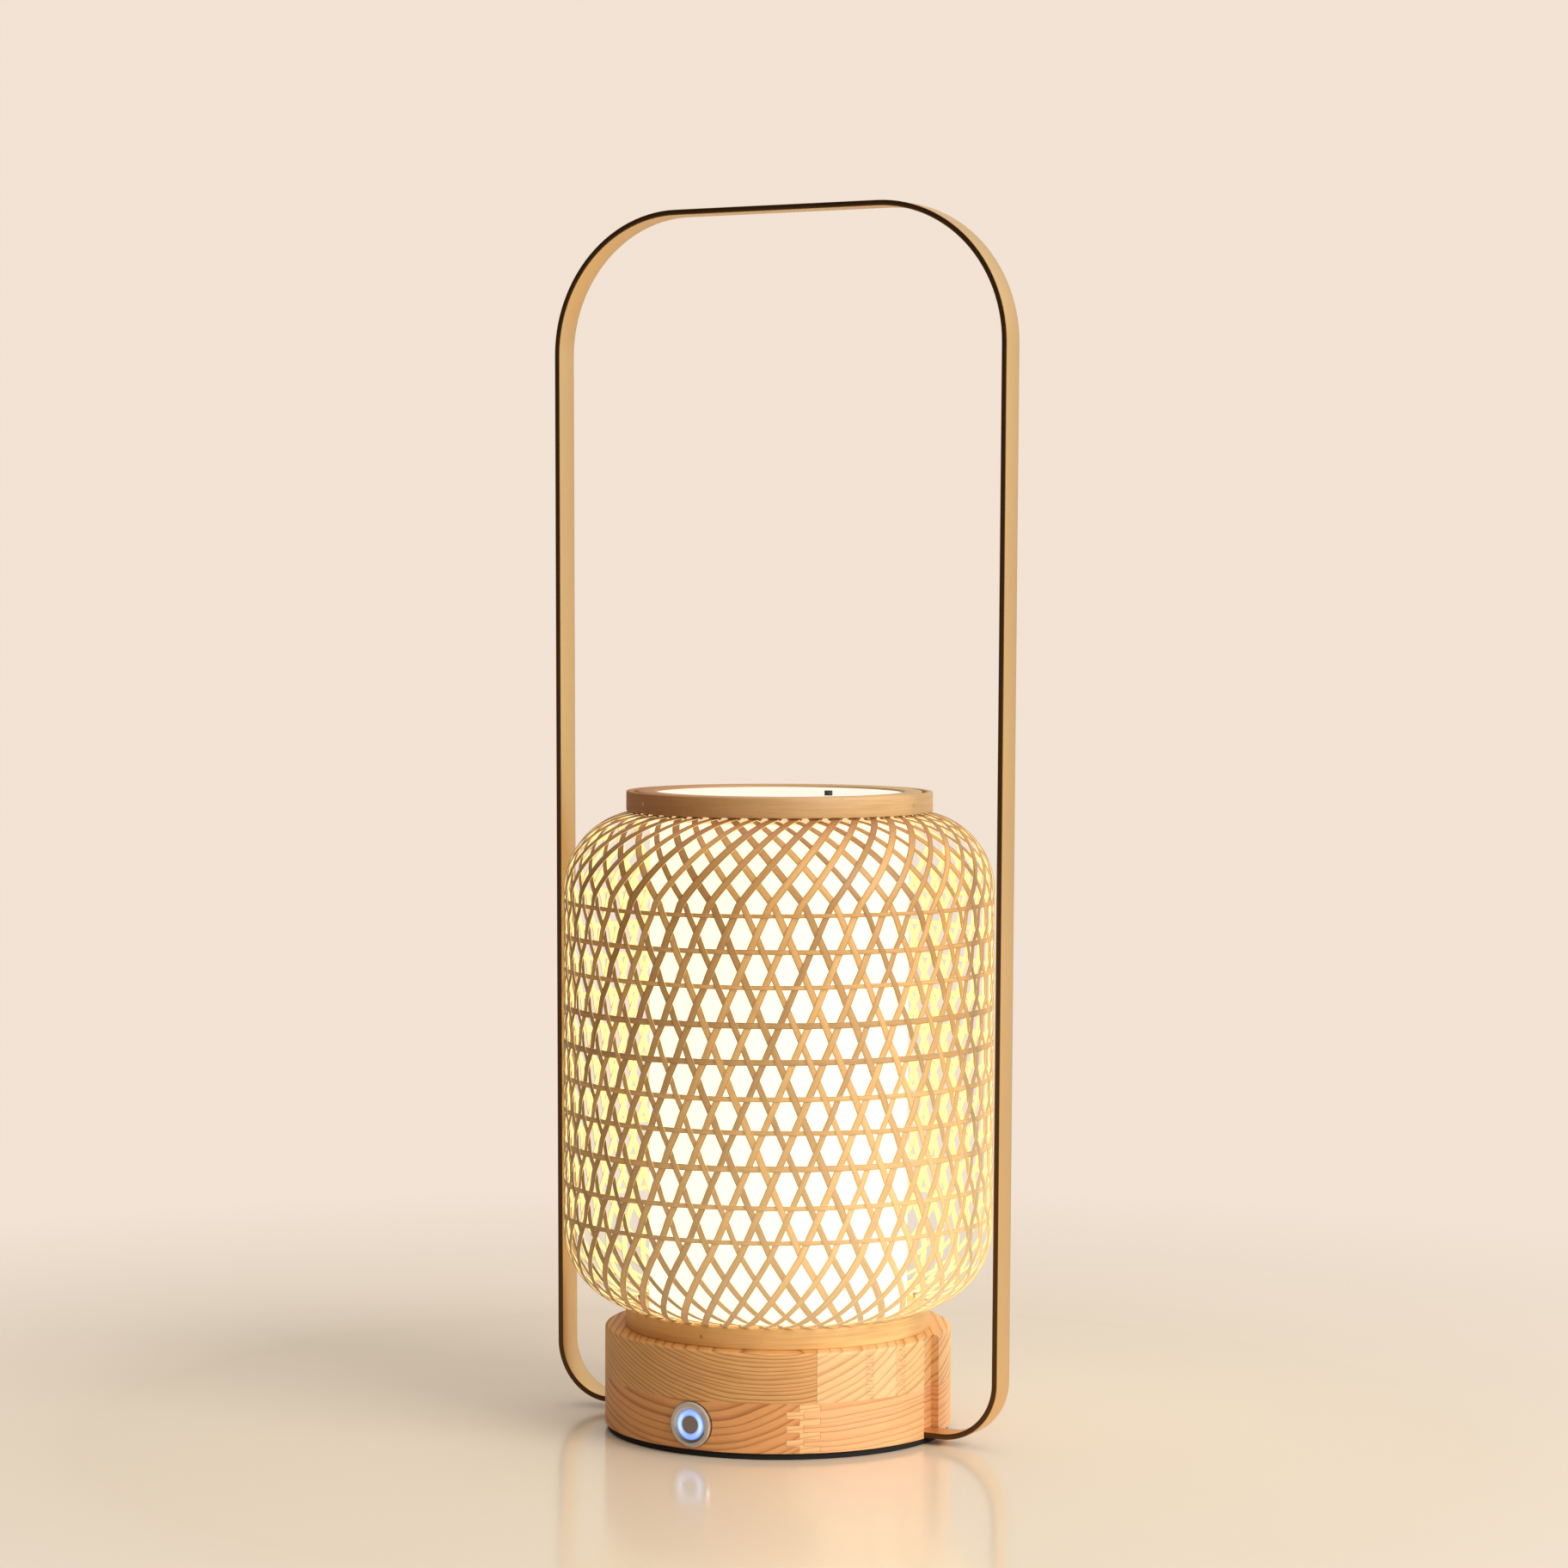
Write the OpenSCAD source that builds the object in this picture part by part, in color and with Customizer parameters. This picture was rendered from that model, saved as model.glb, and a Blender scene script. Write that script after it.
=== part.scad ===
// Lantern table lamp: a woven bamboo shade between two bamboo rings, round a white diffuser,
// on a round pine base that is carried by a flat metal hoop. Rechargeable, with a push button.
// Z is up, the origin is the middle of the underside, and the button faces -Y.

/* [Hoop handle] */
// Height of the hoop's top above the table
hoop_top_z = 490; // [440:1:540]
// Outside width of the hoop just below its upper bends
hoop_top_w = 205.8; // [200:0.2:230]
// Outside width of the hoop just above its lower bends
hoop_bottom_w = 201.8; // [198:0.2:225]
// Width of the flat bar
bar_w = 11.5; // [8:0.5:14]
// Thickness of the flat bar
bar_t = 2.2; // [1.6:0.1:3]
// Outside radius of the two upper bends
top_bend_r = 57; // [40:1:70]
// Outside radius of the two lower bends
bottom_bend_r = 24; // [16:1:28]

/* [Wooden base] */
// Diameter of the base
base_d = 139.4; // [136:0.2:146]
// Thickness of each of the two glued boards
board_t = 19.5; // [19:0.5:24]
// Wall left round the pocket in the lower board
lower_wall = 11.7; // [11:0.1:13]
// Radius of the pocket in the upper board
upper_pocket_r = 50; // [48:0.5:52]
// Depth of the pocket in the upper board
upper_pocket_h = 9.5; // [9.5:0.5:12]
// Depth of the two upright grooves in the base's sides
groove_depth = 3.4; // [2:0.1:4.5]
// Clearance on each side of the bar in its groove and slot
groove_clear = 0.5; // [0.3:0.1:1]
// Rounding of the base's upper edge
base_edge_r = 1.2; // [0.6:0.1:2]
// Thickness of the pad under the base
pad_t = 2.6; // [2:0.1:4]
// How far the pad's rim stands in from the wood
pad_inset = 1.2; // [0.6:0.1:3]
// Gap between the pad and the bar above it
pad_gap = 0.2; // [0.1:0.05:0.4]
// Thickness of the steel bottom cover
cover_t = 2.5; // [2:0.1:3]
// Width of the ledge that the cover seats on
cover_ledge = 6.5; // [6:0.1:7]
// Diameter of the screws that hold the cover
cover_screw_d = 3; // [2.6:0.1:3.2]
// Length of the screws that hold the cover
cover_screw_l = 12; // [10:0.5:13]

/* [Shade rings] */
// Outside diameter of the two rings
ring_d = 123; // [119:0.5:127]
// Height of each ring
ring_h = 8; // [7:0.5:10]
// Thickness of a ring's outer band
band_t = 2.4; // [2:0.1:2.6]
// Bore of the upper ring, round the diffuser's cap
upper_bore_d = 100.2; // [98:0.2:100.6]
// Diameter of the nails through the bands
nail_d = 1.2; // [1:0.1:1.6]
// Length of the nails
nail_l = 6; // [5:0.5:7]
// Nails in each ring
nail_count = 3; // [3:1:6]

/* [Woven shade] */
// Diameter of the woven shade at its middle
shade_d = 173; // [166:0.5:178]
// Height of the weave between the two rings
weave_h = 199; // [185:1:215]
// Radius of the shade's shoulders
shoulder_r = 32; // [28:0.5:34]
// Slanted strips in each direction
strips = 46; // [38:2:48]
// Level strips round the shade
hoops = 10; // [6:1:11]
// Spacing of the level strips
hoop_pitch = 14; // [12:0.5:14.5]
// How far the level strips' middle lies above the shade's middle
hoop_lift = 0.9; // [0:0.1:2]
// Width of a slanted strip
strip_w = 2.7; // [2:0.1:3.2]
// Thickness of a slanted strip
strip_t = 0.55; // [0.4:0.05:0.55]
// Width of a level strip
hoop_w = 1.9; // [1.4:0.1:2.6]
// Thickness of a level strip
hoop_t = 0.5; // [0.4:0.05:0.55]
// Slant of the strips on the upper shoulder, from upright
shoulder_slant = 38; // [30:1:44]
// Slant of the strips on the lower shoulder, from upright
lower_slant = 31; // [26:1:40]
// Turn of the whole pattern about the shade's axis
weave_turn = 3.6; // [0:0.1:7.8]

/* [Diffuser] */
// Outside diameter of the white diffuser tube
tube_d = 103.8; // [102.6:0.2:104]
// Wall of the diffuser tube
tube_wall = 2; // [1.5:0.1:2.2]
// Thickness of the cap's flange, on which the upper ring rests
flange_t = 3; // [2:0.5:4]
// How far the cap's top lies below the upper ring's top
cap_drop = 0.8; // [0.2:0.1:2]
// Wall of the cap
cap_wall = 2.4; // [2:0.1:3]
// Depth of the cap's spigot inside the tube
spigot_h = 6; // [4:0.5:10]
// Height of the seat ring that centres the tube
seat_h = 5; // [4:0.5:8]
// Radial width of the seat ring
seat_w = 9; // [6:0.5:10]
// Diameter of the vent plug in the cap
plug_d = 3.2; // [2.4:0.1:4]
// Distance of the vent plug from the axis
plug_r = 29.3; // [20:0.1:40]

/* [Light source] */
// Diameter of the aluminium heat spreader
spreader_d = 72; // [66:1:78]
// Thickness of the heat spreader
spreader_t = 3; // [2:0.5:4]
// Thickness of the lamp board
led_board_t = 1.6; // [1:0.1:2]
// How far the lamp board stands in from the spreader's rim
led_board_inset = 2; // [1:0.5:4]
// Diameter of the wire holes in the middle
wire_hole_d = 8; // [7:0.5:10]
// Lamp chips in the outer circle
chips_outer = 16; // [8:1:20]
// Lamp chips in the inner circle
chips_inner = 8; // [4:1:10]

/* [Push button] */
// Diameter of the button's chrome flange
bezel_d = 18; // [17:0.5:19]
// Height of the flange in front of the wood
bezel_proud = 1.2; // [0.8:0.1:2]
// Diameter of the threaded barrel
barrel_d = 15.8; // [15.8:0.1:16.2]
// Length of the barrel behind the flange
barrel_l = 19; // [18:0.5:22]
// Diameter of the glowing ring
light_ring_d = 11.75; // [11.2:0.05:11.8]
// Diameter of the cap in the middle of the glowing ring
cap_d = 7.05; // [6:0.05:8]
// Travel of the button
press = 1.5; // [1:0.1:1.8]
// Radial clearance of the moving pieces
press_clear = 0.2; // [0.15:0.05:0.3]

/* [Power] */
// Diameter of a battery cell
cell_d = 18.4; // [18:0.1:18.6]
// Length of a battery cell
cell_l = 65.2; // [60:0.2:66]
// Thickness of the tray's floor
tray_t = 1.5; // [1.2:0.1:2]
// Thickness of the driver board
pcb_t = 1.6; // [1:0.1:1.6]
// Width of the driver board
pcb_w = 50; // [40:1:54]
// Width of the charging socket's mouth
port_w = 8.94; // [8.94:0.02:9.2]
// Height of the charging socket's mouth
port_h = 3.26; // [3.16:0.02:3.4]
// Depth of the charging socket
port_l = 7.3; // [6.5:0.1:7.6]
// Width of the trim plate round the socket
plate_w = 18; // [16:0.5:20]
// Height of the trim plate round the socket
plate_h = 9; // [8:0.5:9.5]
// Diameter of an insulated wire
wire_d = 1.3; // [1:0.1:1.6]

/* [Hidden] */
$fn = 96;
fit = 0.2;              // sliding clearance between pieces that are assembled
screw_clear = 0.1;      // radial clearance of a screw in its hole
layer_gap = 0.05;       // between the layers of the weave
cut = 0.5;              // how far a cutting shape runs past the face it cuts

base_r = base_d / 2;
wood_z = pad_t;
glue_z = wood_z + board_t;
base_top = glue_z + board_t;
lower_pocket_r = base_r - lower_wall;
bar_z = pad_t + pad_gap;
cover_z = bar_z + bar_t + screw_clear;
cover_top = cover_z + cover_t;
cover_seat_r = lower_pocket_r + cover_ledge;
cover_r = cover_seat_r - fit;
cover_screw_r = lower_pocket_r + cover_ledge * 0.42;
cover_head_d = cover_screw_d * 1.8;
slot_w = bar_w + 2 * groove_clear;

ring_r = ring_d / 2;
band_in_r = ring_r - band_t;
upper_bore_r = upper_bore_d / 2;
tube_r = tube_d / 2;
lower_bore_r = tube_r + 2 * fit;
lower_nail_turn = 30;                           // where the first nail of each ring lies
upper_nail_turn = -2;
nail_proud = 0.2;                               // a nail's head in front of its ring
lower_ring_top = base_top + ring_h;
upper_ring_z = lower_ring_top + weave_h;
upper_ring_top = upper_ring_z + ring_h;

shade_r = shade_d / 2;
arc_r = shade_r - shoulder_r;                   // radius at which the shoulders' centres lie
arc_lo = lower_ring_top + shoulder_r;           // level at which the lower shoulder begins
arc_hi = upper_ring_z - shoulder_r;
row_mid = (lower_ring_top + upper_ring_z) / 2 + hoop_lift;
cell_w = PI * shade_d / strips;                 // spacing of the crossings round the shade
slant = atan(cell_w / 2 / hoop_pitch);          // a strip moves half a cell in each row
level_in = strip_t + layer_gap;                 // depth of the level strips below the surface
inner_in = level_in + hoop_t + layer_gap;       // depth of the inner slanted strips
clamp_out_r = band_in_r - fit;                  // the strip ends are clamped inside this radius
hoop_out_r = clamp_out_r - inner_in - strip_t - layer_gap;
clamp_depth = ring_h * 0.75;
slab_w = 70;
strip_turn = function(rise) asin(rise * tan(slant) / shade_r);

cap_r = upper_bore_r - fit - 0.1;
tube_in_r = tube_r - tube_wall;
tube_top = upper_ring_z - flange_t;
cap_top = upper_ring_top - cap_drop;
plug_turn = -19.7;
plug_proud = 1.9;

spreader_r = spreader_d / 2;
spreader_top = base_top + spreader_t;
led_board_r = spreader_r - led_board_inset;
led_board_top = spreader_top + led_board_t;
chip = [3.5, 2.8, 0.8];
led_screw_r = led_board_r * 0.6;
led_screw_d = 3;
led_screw_l = 10;
shade_screw_r = (lower_bore_r + hoop_out_r) / 2;
shade_screw_d = 2.5;
shade_screw_l = 16;
shade_screw_sink = 1.6;
hoop_screw_x = [20, 45];
hoop_screw_d = 4;

button_z = wood_z + board_t / 2;
seal_t = 0.5;
bezel_t = bezel_proud + 0.6;
seat_depth = bezel_t - bezel_proud + seal_t;    // spot face in the wood behind the flange
front_bore_r = light_ring_d / 2 + press_clear;
collar_r = front_bore_r + 0.7;
rear_bore_r = collar_r + press_clear;
shoulder_u = -3.8;                              // inner shoulder that keeps the button in
collar_t = 2;
collar_u = shoulder_u - press_clear;
ring_front_u = bezel_proud - 0.5;
cap_front_u = bezel_proud - 0.3;
cap_t = 1.5;
plunger_r = 2.5;
plunger_l = 4;
spring_l = 4.4;
spring_turns = 3.5;
spring_wire = 0.6;
switch_u = collar_u - collar_t - spring_l - 2 * layer_gap;
barrel_end_u = -(bezel_t - bezel_proud) - barrel_l;
switch_end_u = barrel_end_u - 6;
nut_t = 2.5;
nut_af = 19;
cover_notch = nut_af / cos(30) + 1;             // the cover leaves room for the nut and the switch

tray_z = cover_top;
tray_top = tray_z + tray_t;
cell_z = tray_top + cell_d / 2 + fit;
cell_y = [-10, 10];
tray_wall_h = 10;
tray_x = cell_l / 2 + 4;
tray_y0 = -23;
tray_y1 = 50;
pcb_y0 = 27;
pcb_y1 = 49;
pcb_top = tray_top + pcb_t;
port_z = pcb_top + port_h / 2;
plate_t = 1.2;
plate_seat_y = base_r - 1.8;
port_y0 = plate_seat_y - port_l;
tongue_w = 13;
port_slot = [tongue_w + 1.5, 8];
wire_r = wire_d / 2;
lead_y = 34;                                    // where the wires meet the driver board
lead_in_y = 24;                                 // where they turn down to it
lead_drop = 3;
lead_out = 6;
led_lead_x = 0.1 * pcb_w;                       // distance of the wire ends from the middle
battery_lead_x = 0.4 * pcb_w;
button_lead_x = 0.24 * pcb_w;
nut_side = nut_af / 2;
wire_z = cell_z + cell_d / 2 + 2 * wire_r;      // wires cross above the cells
bead = 1.15;                                    // soft bends of a wire, as a share of its radius

PINE = "#dea873";
BAMBOO = "#e4bd83";
STRIP = "#c99a5f";
GOLD = "#c8a36a";
OPAL = "#fdfbf0";
STEEL = "#b9bbbd";
BLACK = "#222222";

// ---- shared shapes ----

// A ring from radius a to radius b, standing on z, h high
module tube(a, b, z, h) {
    translate([0, 0, z]) difference() {
        cylinder(r = b, h = h);
        translate([0, 0, -cut]) cylinder(r = a, h = h + 2 * cut);
    }
}

// Puts its children at each given angle round the axis, at radius r
module around(angles, r) {
    for (a = angles) rotate([0, 0, a]) translate([r, 0, 0]) children();
}

function circle_of(n, first = 0) = [for (i = [0:n - 1]) first + 360 * i / n];

// Turns children so that their +Z points out of the base's front, from its surface
module at_button() {
    translate([0, -base_r, button_z]) rotate([90, 0, 0]) children();
}

// A flat-headed screw hanging down from z = 0, with a hexagon socket
module sunk_screw(d, l, head_d, head_h, socket) {
    difference() {
        union() {
            translate([0, 0, -l]) cylinder(d = d, h = l);
            translate([0, 0, -head_h]) cylinder(d1 = d, d2 = head_d, h = head_h);
        }
        translate([0, 0, -head_h * 0.6]) cylinder(d = socket, h = head_h, $fn = 6);
    }
}

// The hole for such a screw
module sunk_hole(d, l, head_d, head_h) {
    translate([0, 0, -l - cut]) cylinder(d = d + 2 * screw_clear, h = l + 2 * cut);
    translate([0, 0, -head_h])
        cylinder(d1 = d + 2 * screw_clear, d2 = head_d + 2 * screw_clear, h = head_h);
    cylinder(d = head_d + 2 * screw_clear, h = cut);
}

// A flat outline with round ends, as wide as w and as high as h
module stadium(w, h) {
    square([w - h, h], center = true);
    for (s = [-1, 1]) translate([s * (w - h) / 2, 0]) circle(d = h);
}

// A wire along the given points
module wire(points) {
    for (i = [0:len(points) - 2]) {
        step = points[i + 1] - points[i];
        len = norm(step);
        translate(points[i]) rotate([0, acos(step[2] / len), atan2(step[1], step[0])])
            cylinder(r = wire_r, h = len, $fn = 24);
    }
    for (i = [1:len(points) - 2]) translate(points[i]) sphere(r = wire_r * bead, $fn = 24);
}

// ---- hoop handle ----

top_bend = [hoop_top_w / 2 - top_bend_r, hoop_top_z - top_bend_r];
low_bend = [hoop_bottom_w / 2 - bottom_bend_r, bar_z + bottom_bend_r];

// A quarter of a ring about the origin, in the corner towards +X and +Y
module quarter(r) {
    intersection() {
        difference() {
            circle(r = r);
            circle(r = r - bar_t);
        }
        square([r, r]);
    }
}

// The hoop's right half, seen from the front
module half_hoop() {
    leg_top = hoop_top_w / 2;
    leg_low = hoop_bottom_w / 2;
    translate(top_bend) quarter(top_bend_r);
    translate(low_bend) mirror([0, 1]) quarter(bottom_bend_r);
    polygon([[leg_low, low_bend[1]], [leg_top, top_bend[1]],
        [leg_top - bar_t, top_bend[1]], [leg_low - bar_t, low_bend[1]]]);
    translate([0, hoop_top_z - bar_t]) square([top_bend[0], bar_t]);
    translate([0, bar_z]) square([low_bend[0], bar_t]);
}

module hoop_handle() {
    color(GOLD) difference() {
        translate([0, bar_w / 2, 0]) rotate([90, 0, 0]) linear_extrude(bar_w) {
            half_hoop();
            mirror([1, 0]) half_hoop();
        }
        hoop_screw_places() sunk_hole(hoop_screw_d, bar_t, hoop_screw_head_d, hoop_screw_head_h);
    }
}

hoop_screw_head_d = 7.4;
hoop_screw_head_h = 1.9;

module hoop_screw_places() {
    for (s = [-1, 1], x = hoop_screw_x)
        translate([s * x, 0, bar_z]) rotate([180, 0, 0]) children();
}

module hoop_screws() {
    color(STEEL) hoop_screw_places()
        sunk_screw(hoop_screw_d, cover_top - bar_z, hoop_screw_head_d, hoop_screw_head_h, 2.5);
}

// ---- wooden base ----

// The upright groove on each side, and the slot for the bar under the base
module bar_grooves() {
    for (s = [-1, 1])
        translate([s * base_r - groove_depth, -slot_w / 2, 0])
            cube([2 * groove_depth, slot_w, base_top + cut]);
}

module cover_screw_places() {
    around([45, 135, 225, 315], cover_screw_r)
        translate([0, 0, cover_z]) rotate([180, 0, 0]) children();
}

module lower_base_board() {
    color(PINE) difference() {
        translate([0, 0, wood_z]) cylinder(r = base_r, h = board_t);
        translate([0, 0, wood_z - cut]) cylinder(r = lower_pocket_r, h = board_t + 2 * cut);
        translate([0, 0, wood_z - cut])
            cylinder(r = cover_seat_r, h = cover_top - wood_z + cut);
        bar_grooves();
        translate([-base_r - cut, -slot_w / 2, wood_z - cut])
            cube([base_d + 2 * cut, slot_w, cover_z - wood_z + cut]);
        cover_screw_places() sunk_hole(cover_screw_d, cover_screw_l, cover_screw_d, 1);
        at_button() {
            translate([0, 0, -lower_wall - cut])
                cylinder(d = barrel_d + 2 * fit, h = lower_wall + 2 * cut);
            translate([0, 0, -seat_depth]) cylinder(d = bezel_d + 2 * fit, h = seat_depth + cut);
            translate([0, 0, -lower_wall - 4]) cylinder(d = nut_af * 1.22, h = 4);
        }
        translate([-port_slot[0] / 2, lower_pocket_r - cut, tray_top - fit])
            cube([port_slot[0], lower_wall + 2 * cut, port_slot[1]]);
        port_recess();
    }
}

module upper_base_board() {
    color(PINE) difference() {
        translate([0, 0, glue_z]) rotate_extrude() difference() {
            union() {
                square([base_r, board_t - base_edge_r]);
                square([base_r - base_edge_r, board_t]);
                translate([base_r - base_edge_r, board_t - base_edge_r]) circle(r = base_edge_r);
            }
            translate([-2 * base_edge_r, -cut]) square([2 * base_edge_r, board_t + 2 * cut]);
        }
        translate([0, 0, glue_z - cut]) cylinder(r = upper_pocket_r, h = upper_pocket_h + cut);
        translate([0, 0, glue_z]) cylinder(d = wire_hole_d + 2, h = board_t + cut);
        bar_grooves();
        led_screw_places() sunk_hole(led_screw_d, led_screw_l, led_screw_d, 1);
        shade_screw_places() sunk_hole(shade_screw_d, shade_screw_l, shade_screw_d, 1);
    }
}

module bottom_cover() {
    color(STEEL) difference() {
        translate([0, 0, cover_z]) cylinder(r = cover_r, h = cover_t);
        cover_screw_places()
            sunk_hole(cover_screw_d, cover_t, cover_head_d, cover_screw_d / 2);
        hoop_screw_places() sunk_hole(hoop_screw_d, cover_top - bar_z, hoop_screw_d, 1);
        translate([-cover_notch / 2, -cover_seat_r, cover_z - cut])
            cube([cover_notch, cover_seat_r - base_r - switch_end_u + 0.5, cover_t + 2 * cut]);
    }
}

module cover_screws() {
    color(STEEL) cover_screw_places()
        sunk_screw(cover_screw_d, cover_screw_l, cover_head_d, cover_screw_d / 2, 1.8);
}

module foot_pad() {
    color(BLACK) cylinder(r = base_r - pad_inset, h = pad_t);
}

// ---- shade rings ----

module nail_places() {
    for (ring = [[lower_ring_top, lower_nail_turn], [upper_ring_top, upper_nail_turn]])
        around(circle_of(nail_count, ring[1]), 0)
            translate([ring_r + nail_proud, 0, ring[0] - ring_h / 2]) rotate([0, -90, 0]) children();
}

module nail_holes() {
    nail_places() translate([0, 0, -cut]) cylinder(d = nail_d, h = nail_l + cut, $fn = 24);
}

module shade_screw_places() {
    around([45, 135, 225, 315], shade_screw_r)
        translate([0, 0, lower_ring_top - shade_screw_sink]) children();
}

module lower_ring() {
    color(BAMBOO) difference() {
        tube(band_in_r, ring_r, base_top, ring_h);
        nail_holes();
    }
}

module upper_ring() {
    color(BAMBOO) difference() {
        tube(band_in_r, ring_r, upper_ring_z, ring_h);
        nail_holes();
    }
}

module lower_inner_hoop() {
    color(BAMBOO) difference() {
        tube(lower_bore_r, hoop_out_r, base_top, ring_h);
        nail_holes();
        shade_screw_places() {
            sunk_hole(shade_screw_d, ring_h, shade_screw_d, 1);
            translate([0, 0, -1]) cylinder(d = 4.4, h = shade_screw_sink + 1 + cut);
        }
    }
}

module upper_inner_hoop() {
    color(BAMBOO) difference() {
        tube(upper_bore_r, hoop_out_r, upper_ring_z, ring_h);
        nail_holes();
    }
}

module ring_nails() {
    color(GOLD) nail_places() {
        cylinder(d = nail_d, h = nail_l, $fn = 24);
        cylinder(d = nail_d * 1.8, h = nail_proud, $fn = 24);
    }
}

module shade_screws() {
    color(STEEL) shade_screw_places() {
        translate([0, 0, -shade_screw_l + 1]) cylinder(d = shade_screw_d, h = shade_screw_l - 1);
        translate([0, 0, -1]) cylinder(d = 4.2, h = 1.2);
    }
}

// ---- woven shade ----

// The shoulder's cross-section at depth a below the surface and t thick, with its clamped end
module shoulder_section(a, t) {
    clamp_r = clamp_out_r - a;
    difference() {
        intersection() {
            translate([arc_r, 0]) circle(r = shoulder_r - a);
            translate([clamp_r - t, 0]) square([shoulder_r * 2, shoulder_r * 2]);
        }
        translate([arc_r, 0]) circle(r = shoulder_r - a - t);
    }
    translate([clamp_r - t, shoulder_r - a - t - 0.1]) square([t, clamp_depth + a + t + 0.1]);
}

// A slab through the shade's wall, turned by the slant, that cuts one strip out of a shell
module slab(turn, level, tilt) {
    rotate([0, 0, turn]) translate([shade_r / 2 + slab_w / 4, 0, level]) rotate([-tilt, 0, 0])
        cube([slab_w, strip_w, 3 * shade_r], center = true);
}

// One slanted strip: hand 1 leans right going up, and -1 leans left
module strip(turn, hand, a) {
    intersection() {
        tube(shade_r - a - strip_t, shade_r - a, arc_lo, arc_hi - arc_lo);
        slab(turn, row_mid, hand * slant);
    }
    intersection() {
        translate([0, 0, arc_hi]) rotate_extrude() shoulder_section(a, strip_t);
        slab(turn + hand * strip_turn(arc_hi - row_mid), arc_hi, hand * shoulder_slant);
    }
    intersection() {
        translate([0, 0, arc_lo]) mirror([0, 0, 1]) rotate_extrude() shoulder_section(a, strip_t);
        slab(turn - hand * strip_turn(row_mid - arc_lo), arc_lo, hand * lower_slant);
    }
}

module weave_right() {
    color(STRIP) for (a = circle_of(strips, weave_turn)) strip(a, 1, 0);
}

module weave_left() {
    color(STRIP) for (a = circle_of(strips, weave_turn)) strip(a, -1, inner_in);
}

module weave_hoops() {
    color(STRIP) for (i = [0:hoops - 1])
        tube(shade_r - level_in - hoop_t, shade_r - level_in,
            row_mid + (i - (hoops - 1) / 2) * hoop_pitch - hoop_w / 2, hoop_w);
}

// ---- diffuser ----

module diffuser_tube() {
    color(OPAL) tube(tube_in_r, tube_r, base_top, tube_top - base_top);
}

module plug_place() {
    rotate([0, 0, plug_turn]) translate([plug_r, 0, cap_top]) children();
}

module diffuser_cap() {
    spigot_r = tube_in_r - fit;
    color(OPAL) difference() {
        union() {
            translate([0, 0, tube_top - spigot_h]) cylinder(r = spigot_r, h = spigot_h + flange_t);
            translate([0, 0, tube_top]) cylinder(r = tube_r, h = flange_t);
            translate([0, 0, upper_ring_z]) cylinder(r = cap_r, h = cap_top - upper_ring_z);
        }
        translate([0, 0, tube_top - spigot_h - cut])
            cylinder(r = cap_r - cap_wall, h = cap_top - cap_wall - tube_top + spigot_h + cut);
        plug_place() translate([0, 0, -cap_wall - cut])
            cylinder(d = plug_d - 1, h = cap_wall + 2 * cut);
    }
}

module vent_plug() {
    color(BLACK) plug_place() {
        cylinder(d = plug_d, h = plug_proud);
        translate([0, 0, -cap_wall]) cylinder(d = plug_d - 1 - screw_clear, h = cap_wall + cut);
    }
}

module diffuser_seat() {
    seat_r = tube_in_r - fit;
    color("#e8e6df") tube(seat_r - seat_w, seat_r, base_top, seat_h);
}

// ---- light source ----

module led_screw_places() {
    around([60, 180, 300], led_screw_r) translate([0, 0, led_board_top]) children();
}

module heat_spreader() {
    color(STEEL) difference() {
        tube(wire_hole_d / 2, spreader_r, base_top, spreader_t);
        led_screw_places() sunk_hole(led_screw_d, led_screw_l, led_screw_d, 1);
    }
}

module led_board() {
    color("#f2f2ee") difference() {
        tube(wire_hole_d / 2, led_board_r, spreader_top, led_board_t);
        led_screw_places() sunk_hole(led_screw_d, led_screw_l, led_screw_d, 1);
    }
}

module led_chips() {
    color("#f6e08a") {
        around(circle_of(chips_outer, 11.25), led_board_r * 0.84) chip_block();
        around(circle_of(chips_inner, 22.5), led_board_r * 0.38) chip_block();
    }
}

module chip_block() {
    translate([-chip[1] / 2, -chip[0] / 2, led_board_top]) cube([chip[1], chip[0], chip[2]]);
}

module led_screws() {
    color(STEEL) led_screw_places() {
        translate([0, 0, -led_screw_l]) cylinder(d = led_screw_d, h = led_screw_l);
        cylinder(d = led_screw_d * 1.8, h = 1.6);
    }
}

// ---- push button, built along its own axis with +Z out of the base ----

module button_bezel() {
    back_u = -(bezel_t - bezel_proud);
    chamfer = 0.6;
    color("#d8dadc") at_button() difference() {
        union() {
            translate([0, 0, back_u]) cylinder(d = bezel_d, h = bezel_t - chamfer);
            translate([0, 0, bezel_proud - chamfer])
                cylinder(d1 = bezel_d, d2 = bezel_d - 2 * chamfer, h = chamfer);
            translate([0, 0, barrel_end_u]) cylinder(d = barrel_d, h = barrel_l);
        }
        translate([0, 0, shoulder_u - cut])
            cylinder(r = front_bore_r, h = bezel_proud - shoulder_u + 2 * cut);
        translate([0, 0, barrel_end_u - cut])
            cylinder(r = rear_bore_r, h = shoulder_u - barrel_end_u + cut);
        translate([0, 0, bezel_proud - chamfer])
            cylinder(r1 = front_bore_r, r2 = front_bore_r + 2 * chamfer, h = chamfer + layer_gap);
    }
}

module button_seal() {
    color(BLACK) at_button()
        tube(barrel_d / 2 + fit / 2, bezel_d / 2 - fit, -seat_depth, seal_t);
}

module button_nut() {
    color(STEEL) at_button() translate([0, 0, -lower_wall - nut_t]) difference() {
        cylinder(d = nut_af / cos(30), h = nut_t, $fn = 6);
        translate([0, 0, -cut]) cylinder(d = barrel_d + screw_clear, h = nut_t + 2 * cut);
    }
}

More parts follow.
